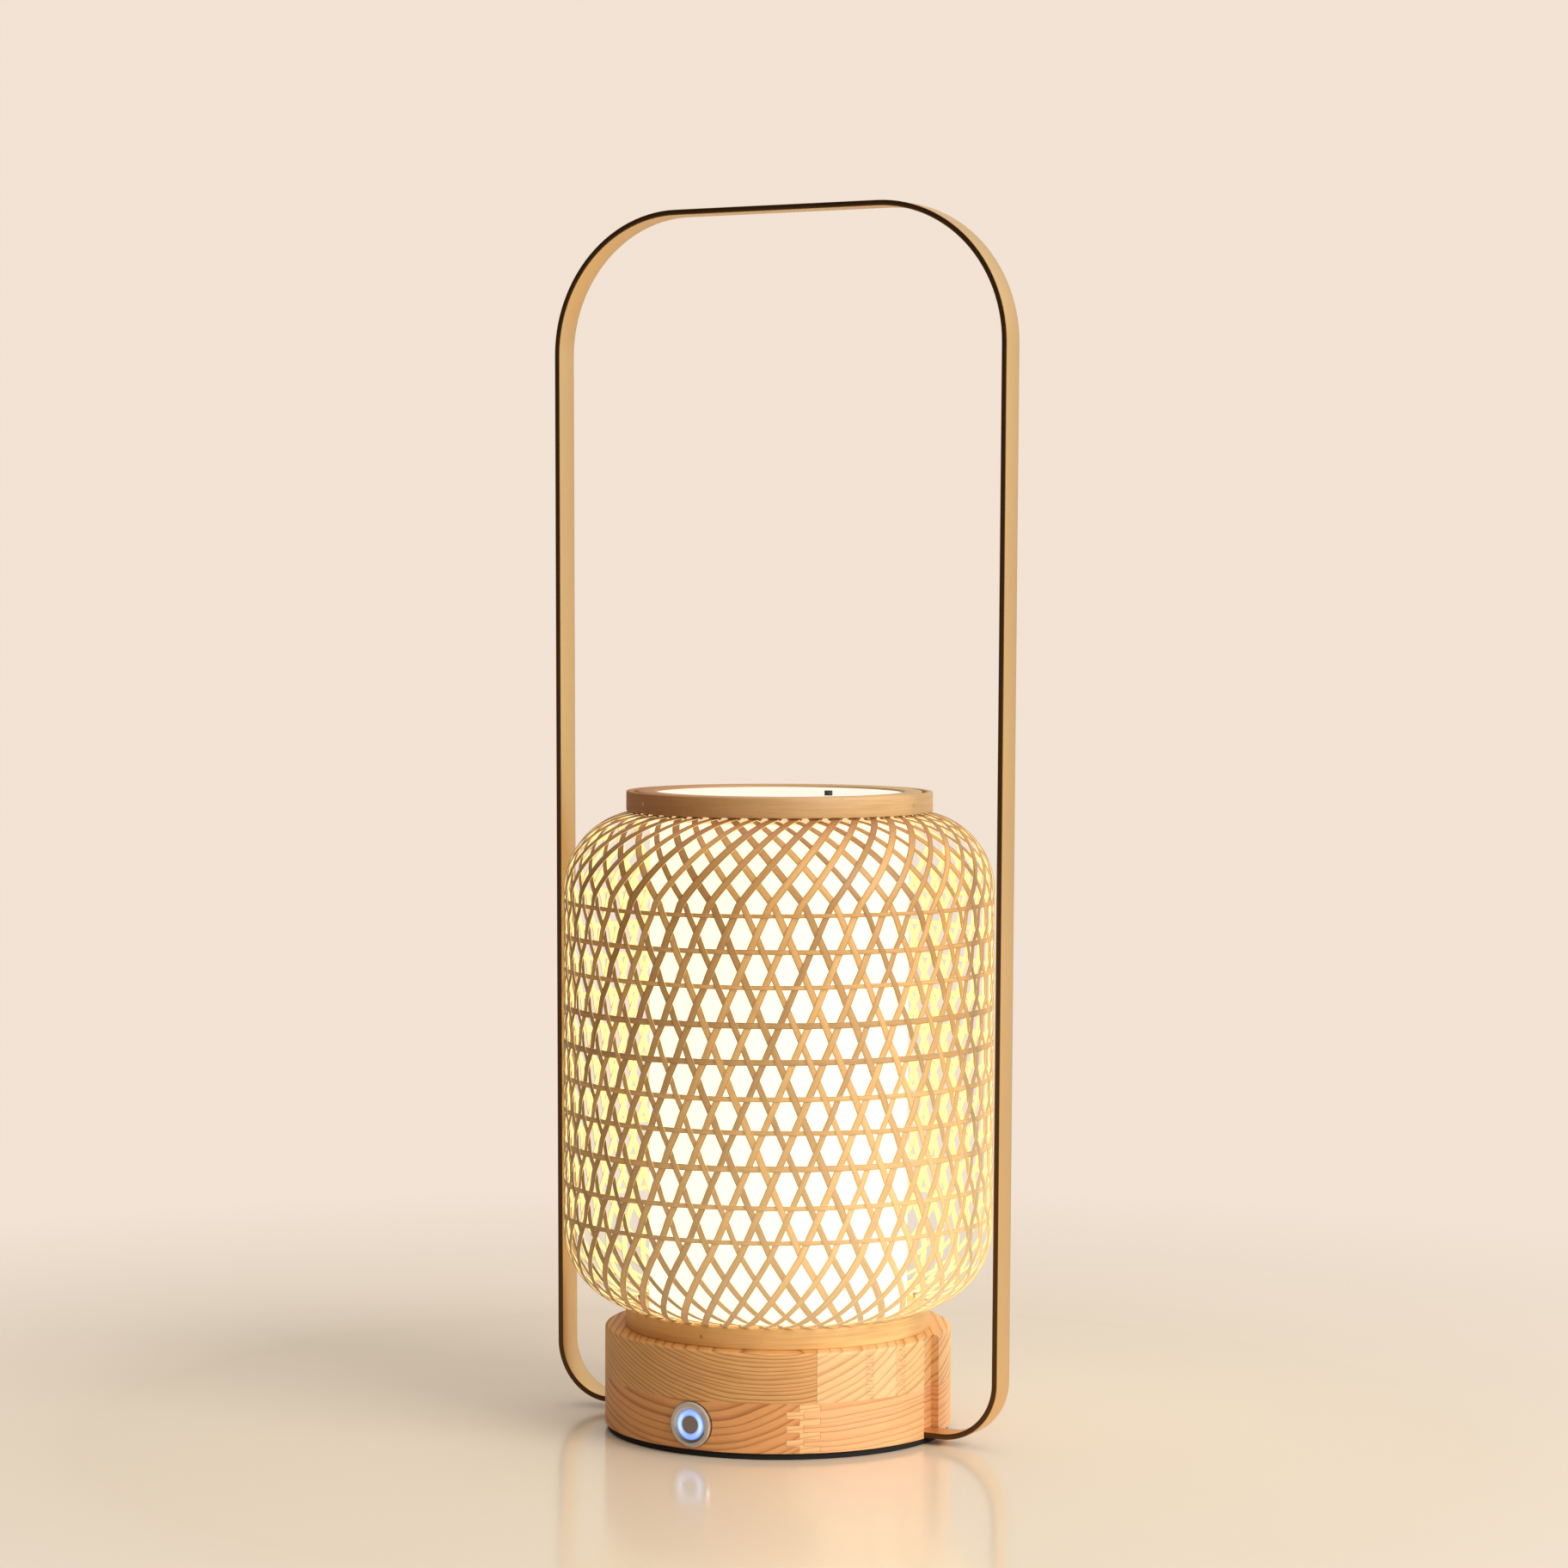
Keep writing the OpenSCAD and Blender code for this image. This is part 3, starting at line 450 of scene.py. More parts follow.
def level_tree():
    """The level strips, each a closed ring that goes over one family of slanted strips and under the other"""
    floats = ["Shell Radius", "Pitch", "Row Middle", "Slant", "Turn", "Width", "Thickness", "Swing", "Unevenness"]
    graph, w = growth_tree("level strips", floats, ["Copies", "Hoops", "Samples", "Seed"])
    add = graph.add
    circle = add("GeometryNodeCurvePrimitiveCircle", None, Resolution=w["Samples"], Radius=UNIT_RING)
    strip = add("GeometryNodeCurveToMesh", None, Curve=circle, Profile_Curve=strip_profile(graph))
    copies, index, rnd = many_strips(graph, strip, w["Hoops"], w["Seed"])
    x, y, z = graph.split(add("GeometryNodeInputPosition"))
    up = (x * x + y * y).fn("SQRT") - UNIT_RING
    angle = y.fn("ARCTAN2", x)
    above = (index - (w["Hoops"] - 1) / 2) * w["Pitch"]
    crossing = w["Turn"] + (above * w["Slant"].fn("TANGENT") / w["Shell Radius"]).fn("ARCSINE")
    depth = w["Swing"] * ((angle - crossing) * w["Copies"]).fn("COSINE") + up * w["Thickness"] / 2
    wander = (angle * 2 + rnd(0.0, 6.28, 1)).fn("SINE") + (angle * 5 + rnd(0.0, 6.28, 2)).fn("SINE") * 0.5
    height = w["Row Middle"] + above + z * w["Width"] * rnd(0.8, 1.25, 3) / 2
    height = height + (wander * 0.3 + rnd(-1.0, 1.0, 4)) * w["Unevenness"]
    radius = w["Shell Radius"] + depth
    grain = graph.join(angle * w["Shell Radius"], z, rnd(0.0, 1.0, 5))
    return lay_strips(graph, w, copies, grain, up, (radius, angle, height))


def bar_tree():
    """A flat bar with eased edges that follows a path"""
    graph, w = growth_tree("bar along a path", ["Width", "Height", "Edge"], ["Edge Steps"])
    outline = graph.add("GeometryNodeCurvePrimitiveQuadrilateral", None, Width=w["Width"], Height=w["Height"])
    outline = graph.add("GeometryNodeFilletCurve", {"mode": "POLY"}, Curve=outline, Count=w["Edge Steps"],
                        Radius=w["Edge"])
    bar = graph.add("GeometryNodeCurveToMesh", None, Curve=w["Geometry"], Profile_Curve=outline)
    finish_tree(graph, w, bar)
    return graph.tree


def nail_tree():
    """Round nail heads on a ring's face, with their shanks inside it"""
    graph, w = growth_tree("ring nails", ["Ring Radius", "Height", "First", "Head Radius", "Stand Out", "Length"],
                           ["Nails"])
    add = graph.add
    head = add("GeometryNodeMeshUVSphere", None, Segments=16, Rings=8, Radius=w["Head Radius"])
    head = add("GeometryNodeTransform", None, Geometry=head, Scale=(1.0, 1.0, 0.35))
    shank = add("GeometryNodeMeshCylinder", None, Vertices=12, Radius=w["Head Radius"] * 0.55, Depth=w["Length"])
    shank = add("GeometryNodeTransform", None, Geometry=shank, Translation=graph.join(0.0, 0.0, w["Length"] / -2))
    nail = add("GeometryNodeJoinGeometry")
    for part in (head, shank):
        graph.tree.links.new(part.socket, nail.socket.node.inputs[0])
    turn = add("GeometryNodeInputIndex") * math.tau / w["Nails"] + w["First"]
    out = w["Ring Radius"] + w["Stand Out"]
    points = add("GeometryNodePoints", None, Count=w["Nails"],
                 Position=graph.join(turn.fn("COSINE") * out, turn.fn("SINE") * out, w["Height"]))
    copies = add("GeometryNodeInstanceOnPoints", None, Points=points, Instance=nail,
                 Rotation=graph.join(0.0, math.pi / 2, turn))
    finish_tree(graph, w, copies)
    return graph.tree


def spring_tree():
    """A coil of round wire along the push button's axis, which starts at its inner end"""
    graph, w = growth_tree("return spring", ["Turns", "Coil Radius", "Rise", "Wire Radius", "Start", "Height"])
    add = graph.add
    coil = add("GeometryNodeCurveSpiral", None, Resolution=24, Rotations=w["Turns"], Start_Radius=w["Coil Radius"],
               End_Radius=w["Coil Radius"], Height=w["Rise"])
    outline = add("GeometryNodeCurvePrimitiveCircle", None, Resolution=10, Radius=w["Wire Radius"])
    spring = add("GeometryNodeCurveToMesh", None, Curve=coil, Profile_Curve=outline, Fill_Caps=True)
    spring = add("GeometryNodeTransform", None, Geometry=spring, Translation=graph.join(0.0, w["Start"], w["Height"]),
                 Rotation=(math.pi / 2, 0.0, 0.0))
    finish_tree(graph, w, spring)
    return graph.tree


# ---- finishes ----


def finish(name, build):
    """A material whose nodes build(graph) makes"""
    material = bpy.data.materials.new(name)
    material.use_nodes = True
    material.node_tree.nodes.clear()
    graph = Graph(material.node_tree)
    graph.add("ShaderNodeOutputMaterial", None, Surface=build(graph))
    return material


def place(graph):
    return graph.add("ShaderNodeTexCoord").out("Object")


def plain(name, colour, rough=0.5, metallic=0.0, speck=400.0, vary=0.12, bump=0.15):
    """A moulded, cast or sprayed finish, with fine specks in its colour, gloss and surface"""

    def build(graph):
        where = place(graph)
        fine = graph.noise(where, speck, 3.0)
        broad = graph.noise(where, speck / 12, 2.0)
        shade = graph.mix(fine * 0.5 + broad * 0.5, scaled(colour, 1 - vary), scaled(colour, 1 + vary))
        return graph.surface(Base_Color=shade, Metallic=metallic,
                             Roughness=(rough - 0.06 + broad * 0.12).clamp(0.02, 1.0),
                             Normal=graph.bump(fine, bump, 0.0002))

    return finish(name, build)


def strip_finish(colour, pith, turn):
    """Split bamboo: fibres along each strip, each strip of its own tone, and a paler inner face, with painted shade
    on the strips' edges and near the rings, and a painted glow on both faces
    """

    def build(graph):
        along, across, own = graph.split(graph.add("ShaderNodeAttribute", {"attribute_name": "grain"}).out("Vector"))
        face = graph.add("ShaderNodeAttribute", {"attribute_name": "face"}).out("Fac")
        fibre = graph.noise(graph.join(along * 45, across * 3.5 + own * 60, own * 31), 1.0, 4.0, 0.65)
        patch = graph.noise(graph.join(along * 22, own * 83, own * 17), 1.0, 2.0)
        knot = (1 - abs((along * 5.2 + own * 9).fn("FRACT") - 0.5) * 60).clamp() * 0.5
        tone = (own * 0.75 + fibre * 0.45 + patch * 0.45 - knot * 0.3 - 0.25).clamp()
        pale = scaled(colour, 1.45, 1.6, 1.9)
        dark = scaled(colour, 0.55, 0.45, 0.36)
        skin = graph.add("ShaderNodeValToRGB", {"stops": [(0.0, dark), (0.5, colour), (1.0, pale)]}, tone)
        inside = graph.mix(fibre, scaled(pith, 0.85), pith)
        # Painted shade: each strip is darker along both edges, where the strips it crosses would shade it
        edge_shade = ((abs(across) - 0.55) * 2.4).clamp()
        skin = graph.mix(edge_shade * 0.6, skin, scaled(dark, 0.6))
        x, y, z = graph.split(place(graph))
        # Painted shade: the strips turn darker and redder within about 12 mm of each ring
        near_ring_shade = ((abs(z - SHADE_MID) - (HIGH_RING[0] - SHADE_MID) + 0.012) / 0.010).clamp()
        skin = graph.mix(near_ring_shade * 0.75, skin, scaled(dark, 1.3, 1.0, 0.8))
        is_inside = (0.5 - face * 0.9).clamp()
        shade = graph.mix(is_inside, skin, inside)
        # Painted glow: the outer faces glow as if lit through, more towards the bottom and towards the key light's
        # side, and the inner faces glow pale as if lit by the diffuser
        low = ((HIGH_RING[0] - z) / (HIGH_RING[0] - LOW_RING[1])).clamp()
        right = ((x * math.cos(turn) + y * math.sin(turn)) * 8 + 0.72).clamp(0.12, 1.2)
        share = ((low ** 1.3) * 0.40 + 0.04) * right * (0.6 + fibre * 0.8)
        painted_glow = graph.mix(share, (0.0, 0.0, 0.0), (1.0, 0.84, 0.46))
        lit = graph.mix(is_inside, painted_glow, scaled(pith, 0.62))
        return graph.surface(Base_Color=shade, Roughness=(0.38 + fibre * 0.2).clamp(),
                             Emission_Color=lit, Emission_Strength=1.0, Normal=graph.bump(fibre - knot, 0.4, 0.0002))

    return finish("split bamboo", build)


def band_finish(name, colour, painted_shade_colour, turn):
    """Bent bamboo: fibres round the ring, with faint darker streaks, and painted shade towards the side away from the
    key light
    """

    def build(graph):
        x, y, z = graph.split(place(graph))
        angle = y.fn("ARCTAN2", x)
        length = angle * RING_R
        fibre = graph.noise(graph.join(length * 60, z * 2600, (x * x + y * y).fn("SQRT") * 1500), 1.0, 4.0, 0.6)
        streak = graph.noise(graph.join(length * 18, z * 420, 3.0), 1.0, 3.0, 0.6)
        fleck = graph.noise(graph.join(length * 240, z * 900, 9.0), 1.0, 2.0)
        spot = ((fleck - 0.66) * 9).clamp()
        tone = (fibre * 0.45 + streak * 0.6 - 0.05).clamp()
        pale = scaled(colour, 1.18, 1.3, 1.55)
        dark = scaled(colour, 0.6, 0.51, 0.42)
        shade = graph.add("ShaderNodeValToRGB", {"stops": [(0.15, dark), (0.5, colour), (0.9, pale)]}, tone)
        shade = graph.mix(spot * 0.5, shade, dark)
        # Painted shade: the band darkens towards the side away from the key light
        side = ((x * math.cos(turn) + y * math.sin(turn)) / RING_R * -0.5 + 0.5 + (streak - 0.5) * 0.3).clamp()
        painted_shade_tone = graph.mix(fibre, scaled(painted_shade_colour, 0.8), scaled(painted_shade_colour, 1.2))
        shade = graph.mix(side ** 1.5, shade, painted_shade_tone)
        return graph.surface(Base_Color=shade, Roughness=(0.42 + fibre * 0.16).clamp(),
                             Normal=graph.bump(fibre, 0.25, 0.0003))

    return finish(name, build)


def pine_finish(name, turn, blocks, teeth, fine):
    """Edge-glued and finger-jointed pine. Each block is (start, pith across, pith height, ring width, colour,
    line colour), and teeth gives the depth, pitch and squareness of the joint at the start of each block after
    the first."""

    def build(graph):
        x, y, z = graph.split(place(graph))
        across = x * math.cos(turn) + y * math.sin(turn)
        along = y * math.cos(turn) - x * math.sin(turn)
        pith_across, pith_height, width = blocks[0][1:4]
        shade, line_shade = blocks[0][4:6]
        seam = 0.0
        for number, (block, before) in enumerate(zip(blocks[1:], blocks)):
            depth, pitch, square = teeth[number]
            wave = (z / pitch).fn("FRACT")
            bite = (wave > 0.5) if square else abs(wave - 0.5) * 2
            edge = block[0] + bite * depth
            past = across > edge
            pith_across = past * (block[1] - before[1]) + pith_across
            pith_height = past * (block[2] - before[2]) + pith_height
            width = past * (block[3] - before[3]) + width
            shade = graph.mix(past, shade, block[4])
            line_shade = graph.mix(past, line_shade, block[5])
            here = (1 - abs(across - edge) / 0.0002).clamp()
            if square:
                flip = ((abs((wave * 2).fn("FRACT") - 0.5) - 0.44) * 16).clamp()
                here = here.fn("MAXIMUM", flip * (across > block[0]) * (across < block[0] + depth))
            elif depth:
                here = here * 0.6 + (abs(across - block[0] - depth / 2) < depth / 2) * bite * 0.35
            seam = here.fn("MAXIMUM", seam)
        warp = graph.noise(graph.join(along * 7, across * 16, z * 32), 1.0, 2.0) - 0.5
        drift = graph.noise(graph.join(along * 25, across * 60, z * 110), 1.0, 2.0) - 0.5
        reach = ((across - pith_across) ** 2 + (z - pith_height) ** 2).fn("SQRT")
        reach = reach + warp * 0.005 + drift * 0.0007 + along * 0.04
        vary = graph.noise(graph.join(reach * 160, width * 900, 2.0), 1.0, 2.0)
        count = reach / width + vary * 2.4
        ring = count.fn("FRACT")
        bold = graph.chance(count.fn("FLOOR"))
        line = ring ** (2.5 + bold * 6) * (1 - ((ring - 0.9) * 10).clamp()) * (0.8 + bold * 1.1)
        streak = graph.noise(graph.join(reach * 2200, across * 80, along * 80), 1.0, 3.0, 0.6)
        pore = graph.noise(graph.join(reach * 5200, across * 420, along * 420), 1.0, 1.0)
        broad = graph.noise(graph.join(along * 12, across * 30, z * 60), 1.0, 2.0)
        tone = (line + (streak - 0.5) * 0.6 + (broad - 0.5) * 0.4 + 0.03).clamp()
        wood = graph.mix(tone, shade, line_shade)
        wood = graph.mix(((pore - 0.62) * 3).clamp() * 0.35, wood, line_shade)
        wood = graph.mix(seam * fine, wood, scaled(blocks[0][5], 0.8))
        return graph.surface(Base_Color=wood,
                             Roughness=(0.44 + line * 0.1 + pore * 0.08).clamp(),
                             Normal=graph.bump(streak * 0.4 - line * 0.5 - seam, 0.25, 0.0003))

    return finish(name, build)


def hoop_finish(colour, half):
    """Champagne coat: a metallic spray with a faint grain, and a painted dark reflection on the bar's narrow edges"""

    def build(graph):
        where = place(graph)
        x, y, z = graph.split(where)
        fine = graph.noise(where, 900.0, 2.0)
        broad = graph.noise(where, 14.0, 2.0)
        # Painted reflection: the bar's narrow edges are dark, as if mirroring a dark room
        edge = ((abs(y) - half + 0.0004) * 3500).clamp()
        shade = graph.mix(broad, scaled(colour, 0.93), scaled(colour, 1.06))
        shade = graph.mix(edge, shade, scaled(colour, 0.16, 0.13, 0.12))
        return graph.surface(Base_Color=shade, Metallic=1.0,
                             Roughness=(0.32 + broad * 0.08 + fine * 0.05).clamp(),
                             Normal=graph.bump(fine, 0.01, 0.00005))

    return finish("champagne coat", build)


def lit_finish(name, colour, strength):
    """A translucent white or tinted moulding that is lit from inside"""

    def build(graph):
        where = place(graph)
        x, y, z = graph.split(where)
        broad = graph.noise(where, 9.0, 2.0)
        rise = ((z - LOW_RING[0]) / (HIGH_RING[1] - LOW_RING[0])).clamp() * 0.8 + broad * 0.2
        glow = graph.mix(rise, colour, scaled(colour, 0.84))
        return graph.surface(Base_Color=(0.40, 0.38, 0.33), Roughness=0.5,
                             Emission_Color=glow, Emission_Strength=strength)

    return finish(name, build)


def cap_finish(colour, strength):
    """The diffuser's top: opal that the light reaches less"""

    def build(graph):
        x, y, z = graph.split(place(graph))
        out = (x * x + y * y).fn("SQRT") / GLOW_R
        share = (out ** 3).clamp()
        glow = graph.mix(share, scaled(colour, 0.95), colour)
        fine = graph.noise(place(graph), 700.0, 2.0)
        return graph.surface(Base_Color=(0.80, 0.78, 0.72), Roughness=0.45,
                             Emission_Color=glow, Emission_Strength=strength, Normal=graph.bump(fine, 0.05, 0.0002))

    return finish("diffuser cap", build)


def halo_finish(colour, strength):
    """The button's clear ring: bright in its middle and deeper in colour at both edges"""

    def build(graph):
        x, y, z = graph.split(place(graph))
        middle = sum((corner.z for corner in box("button_light_ring")), 0.0) / 2
        out = (x * x + (z - middle) ** 2).fn("SQRT")
        share = (1 - abs(out - HALO[0]) / HALO[1]).clamp()
        uneven = graph.noise(place(graph), 260.0, 2.0)
        flank = (abs(x) / out) ** 2
        bright = [min(c + more, 1.0) for c, more in zip(colour, (0.50, 0.62, 0.30))]
        glow = graph.mix((share * (0.15 + flank * 0.8 + (uneven - 0.5) * 0.6)).clamp(), colour, bright)
        return graph.surface(Base_Color=(0.3, 0.4, 0.6), Roughness=0.2,
                             Emission_Color=glow, Emission_Strength=strength)

    return finish("button light", build)


def paint(node, material):
    """Gives a CAD node its finish"""
    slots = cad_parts[node].material_slots
    if not slots:
        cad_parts[node].data.materials.append(material)
    for entry in slots:
        entry.material = material


def settle(piece, body, slot, *stands_for):
    """Says what a finished piece rides on and what it stands for; slot, the finish of the record, is not used"""
    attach(piece, body)
    if stands_for:
        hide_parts(*stands_for)


def path(name, points):
    """A closed path as a curve, for a bar to follow"""
    curve = bpy.data.curves.new(name, "CURVE")
    curve.dimensions = "3D"
    spline = curve.splines.new("POLY")
    spline.points.add(len(points) - 1)
    for point, (x, y, z) in zip(spline.points, points):
        point.co = (x, y, z, 1.0)
    spline.use_cyclic_u = True
    return curve


def circle_path(name, radius, z):
    turns = [math.tau * i / CIRCLE_STEPS for i in range(CIRCLE_STEPS)]
    return path(name, [(radius * math.cos(a), radius * math.sin(a), z) for a in turns])


# ---- operators ----


class LAMP_OT_hoop(bpy.types.Operator):
    """Makes the flat metal hoop that carries the base and serves as the handle"""

    bl_idname = "lamp.hoop"
    bl_label = "Metal hoop"

    def execute(self, context):
        s = context.scene.lamp_hoop
        low, high = HOOP_BOX
        half = s.thickness / 2
        points = [(0.0, 0.0, low.z + half)]

        def bend(x, z, radius, start, stop):
            for i in range(BEND_STEPS + 1):
                a = math.radians(start + (stop - start) * i / BEND_STEPS)
                points.append((x + radius * math.cos(a), 0.0, z + radius * math.sin(a)))

        top_x, top_z = s.top_width / 2 - s.top_bend, high.z - s.top_bend
        low_x, low_z = s.low_width / 2 - s.low_bend, low.z + s.low_bend
        bend(low_x, low_z, s.low_bend - half, -90, 0)
        bend(top_x, top_z, s.top_bend - half, 0, 90)
        bend(-top_x, top_z, s.top_bend - half, 90, 180)
        bend(-low_x, low_z, s.low_bend - half, 180, 270)
        material = hoop_finish(context.scene.lamp_colours.gold, (high.y - low.y) / 2)
        hoop = grow("hoop", bar_tree(), {
            "Width": high.y - low.y, "Height": s.thickness, "Edge": s.edge, "Edge Steps": EDGE_STEPS,
            "Material": material}, path("hoop_path", points))
        settle(hoop, "lamp", "hoop_metal", "hoop_handle")
        paint("hoop_handle", material)
        return {"FINISHED"}


class LAMP_OT_weave(bpy.types.Operator):
    """Weaves the shade from two families of slanted strips and a stack of level strips"""

    bl_idname = "lamp.weave"
    bl_label = "Woven shade"

    def execute(self, context):
        s = context.scene.lamp_weave
        colours = context.scene.lamp_colours
        material = strip_finish(colours.strip, colours.pith, context.scene.lamp_stage.azimuth)
        shell = s.radius - s.swing - s.thickness / 2
        shoulder = s.shoulder - s.swing - s.thickness / 2
        gap_out = RING_R - context.scene.lamp_rings.band
        slant = math.atan(math.pi * 2 * s.radius / s.copies / 2 / s.pitch)
        shared = {"Copies": s.copies, "Shell Radius": shell, "Row Middle": s.row_mid, "Slant": slant,
                  "Turn": s.turn, "Thickness": s.thickness, "Swing": s.swing, "Material": material}
        slanted = {"Samples": STRIP_STEPS, "Shoulder Radius": shoulder, "Middle": SHADE_MID,
                   "Half Height": (HIGH_RING[0] - LOW_RING[1]) / 2 - s.shoulder,
                   "Clamp Radius": gap_out - CLAMP_DEPTH, "Clamp Length": s.clamp,
                   "Upper Slant": s.slope, "Lower Slant": s.low_slope, "Unevenness": 0.0005}
        tree = slanted_tree()
        for name, node, hand, width, seed in (("strips_right", "weave_right", 1.0, s.right_width, 3),
                                              ("strips_left", "weave_left", -1.0, s.left_width, 8)):
            piece = grow(name, tree, {**shared, **slanted, "Hand": hand, "Width": width, "Seed": seed})
            settle(piece, "lamp", "strip_bamboo", node)
        level = grow("strips_level", level_tree(), {
            **shared, "Hoops": s.hoops, "Samples": s.copies * 6, "Pitch": s.pitch, "Width": s.level_width,
            "Unevenness": 0.0006, "Seed": 5})
        settle(level, "lamp", "strip_bamboo", "weave_hoops")
        for node in ("weave_right", "weave_left", "weave_hoops"):
            paint(node, material)
        return {"FINISHED"}


class LAMP_OT_rings(bpy.types.Operator):
    """Makes the bent bamboo bands that clamp the strips, the hoops inside them and the nails"""

    bl_idname = "lamp.rings"
    bl_label = "Bamboo rings"

    def execute(self, context):
        s = context.scene.lamp_rings
        colour = context.scene.lamp_colours.bamboo
        turn = context.scene.lamp_stage.azimuth
        # The third colour of each band is the colour of its painted shade
        pale = band_finish("bent bamboo", colour, scaled(colour, 0.92, 0.72, 0.5), turn)
        # The upper band is a darker copy of the same bamboo: painted shade
        shaded_band = band_finish("shaded bent bamboo", scaled(colour, 0.72, 0.70, 0.74),
                            scaled(colour, 0.40, 0.22, 0.12), turn)
        tree = bar_tree()
        for name, node in (("band_low", "lower_ring"), ("band_high", "upper_ring"),
                           ("inner_low", "lower_inner_hoop"), ("inner_high", "upper_inner_hoop")):
            low, high = box(node)
            out = high.x
            wall = s.band if node.endswith("ring") else out - self.bore(node)
            material = shaded_band if node.startswith("upper") else pale
            ring = grow(name, tree, {
                "Width": wall, "Height": high.z - low.z, "Edge": s.edge, "Edge Steps": EDGE_STEPS,
                "Material": material}, circle_path(name, out - wall / 2, (low.z + high.z) / 2))
            settle(ring, "lamp", "ring_bamboo", node)
            paint(node, material)
        brass = plain("nail brass", (0.55, 0.36, 0.17), 0.45, 0.6, 2000.0)
        nails = nail_tree()
        for name, ring, first in (("nails_low", LOW_RING, s.low_nail), ("nails_high", HIGH_RING, s.high_nail)):
            heads = grow(name, nails, {
                "Nails": s.nails, "Ring Radius": RING_R, "Height": sum(ring) / 2, "First": first,
                "Head Radius": s.nail, "Stand Out": -NAIL_SINK, "Length": NAIL_LENGTH, "Material": brass})
            settle(heads, "lamp", "nail_brass", "ring_nails")
        paint("ring_nails", brass)
        return {"FINISHED"}

    def bore(self, node):
        """Inner radius of a ring, from the vertex that lies nearest to the axis"""
        return min(v.co.xy.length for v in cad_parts[node].data.vertices)


class LAMP_OT_base(bpy.types.Operator):
    """Finishes the pine base, its pad and its steel cover"""

    bl_idname = "lamp.base"
    bl_label = "Pine base"

    def execute(self, context):
        c = context.scene.lamp_colours
        turn = context.scene.lamp_stage.azimuth
        top = box("upper_base_board")[1].z

        def block(start, pith_across, pith_height, width, wood, line):
            return start, pith_across, pith_height, width, scaled(c.pine, *wood), scaled(c.grain, *line)

        # Each board's first block, on the side away from the key light, is darker and deeper in colour than the rest:
        # partly the board's own tone, partly painted shade
        upper = [block(-1.0, -0.005, top + 0.088, 0.0016, (0.90, 0.90, 0.86), (1.0, 1.0, 1.0)),
                 block(0.0151, -0.010, top + 0.060, 0.0030, (1.12, 1.28, 1.62), (1.9, 2.8, 4.2)),
                 block(0.0340, -0.016, top + 0.054, 0.0034, (1.14, 1.34, 1.75), (1.9, 2.8, 4.2)),
                 block(0.0460, -0.004, top + 0.070, 0.0030, (1.10, 1.24, 1.5), (1.6, 2.2, 3.0))]
        lower = [block(-1.0, -0.038, GLUE_Z + 0.068, 0.0031, (0.92, 0.80, 0.74), (1.2, 1.1, 1.1)),
                 block(0.0033, -0.020, GLUE_Z + 0.30, 0.0022, (1.12, 1.25, 1.5), (2.0, 2.8, 3.6)),
                 block(0.0100, 0.010, GLUE_Z + 0.60, 0.0024, (1.10, 1.10, 1.35), (1.9, 2.4, 3.2))]
        glued = [(0.0, 1.0, 0), (0.0035, 0.0014, 0), (0.004, 0.0014, 0)]
        fingers = [(0.0051, 0.0054, 1), (0.0065, 0.0054, 1)]
        paint("upper_base_board", pine_finish("pine upper board", turn, upper, glued, 0.6))
        paint("lower_base_board", pine_finish("pine lower board", turn, lower, fingers, 0.55))
        paint("foot_pad", plain("foot pad rubber", (0.007, 0.006, 0.005), 0.9, 0.0, 900.0, 0.2, 0.3))
        steel = plain("zinc steel", (0.58, 0.58, 0.60), 0.32, 1.0, 1500.0, 0.06)
        for node in ("bottom_cover", "cover_screws", "hoop_screws", "shade_screws", "led_screws", "button_nut",
                     "charge_port"):
            paint(node, steel)
        return {"FINISHED"}


class LAMP_OT_diffuser(bpy.types.Operator):
    """Finishes the opal diffuser, its cap and vent plug, and the light source inside it"""

    bl_idname = "lamp.diffuser"
    bl_label = "Diffuser"

    def execute(self, context):
        glow = context.scene.lamp_colours.glow
        strength = context.scene.lamp_stage.glow
        paint("diffuser_tube", lit_finish("diffuser tube", glow, strength))
        paint("diffuser_cap", cap_finish(glow, 0.22))
        paint("diffuser_seat", plain("seat plastic", (0.80, 0.78, 0.72), 0.5))
        paint("heat_spreader", plain("spreader aluminium", (0.75, 0.75, 0.76), 0.35, 1.0, 1200.0))
        paint("led_board", plain("white board", (0.86, 0.86, 0.83), 0.35))
        paint("led_chips", lit_finish("lamp chips", (1.0, 0.85, 0.5), 2.0))
        paint("vent_plug", plain("black rubber", (0.02, 0.02, 0.02), 0.6))
        return {"FINISHED"}


class LAMP_OT_button(bpy.types.Operator):
    """Finishes the push button and winds its return spring, which is pressed together as the button goes in"""

    bl_idname = "lamp.button"
    bl_label = "Push button"

    def execute(self, context):
        paint("button_bezel", plain("polished chrome", (0.58, 0.56, 0.55), 0.14, 1.0, 1800.0, 0.03, 0.02))
        paint("button_light_ring", halo_finish(context.scene.lamp_colours.ring_light, 1.05))
        paint("button_cap", plain("button cap", (0.25, 0.20, 0.18), 0.35, 0.3, 1600.0, 0.08))
        paint("button_seal", plain("seal rubber", (0.02, 0.02, 0.02), 0.7))
        paint("button_switch", plain("switch plastic", (0.03, 0.03, 0.03), 0.5))
        paint("button_terminals", plain("terminal brass", (0.65, 0.48, 0.22), 0.35, 1.0))
        s = context.scene.lamp_spring
        steel = plain("spring steel", (0.55, 0.55, 0.57), 0.28, 1.0, 1500.0, 0.06)
        low, high = box("button_spring")
        height = (low.z + high.z) / 2
        spring = grow("return_spring", spring_tree(), {
            "Turns": s.turns, "Coil Radius": high.x - s.wire / 2, "Rise": high.y - low.y - s.wire,
            "Wire Radius": s.wire / 2, "Start": high.y - s.wire / 2, "Height": height, "Material": steel})
        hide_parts("button_spring")
        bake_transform(spring)
        paint("button_spring", steel)
        return {"FINISHED"}


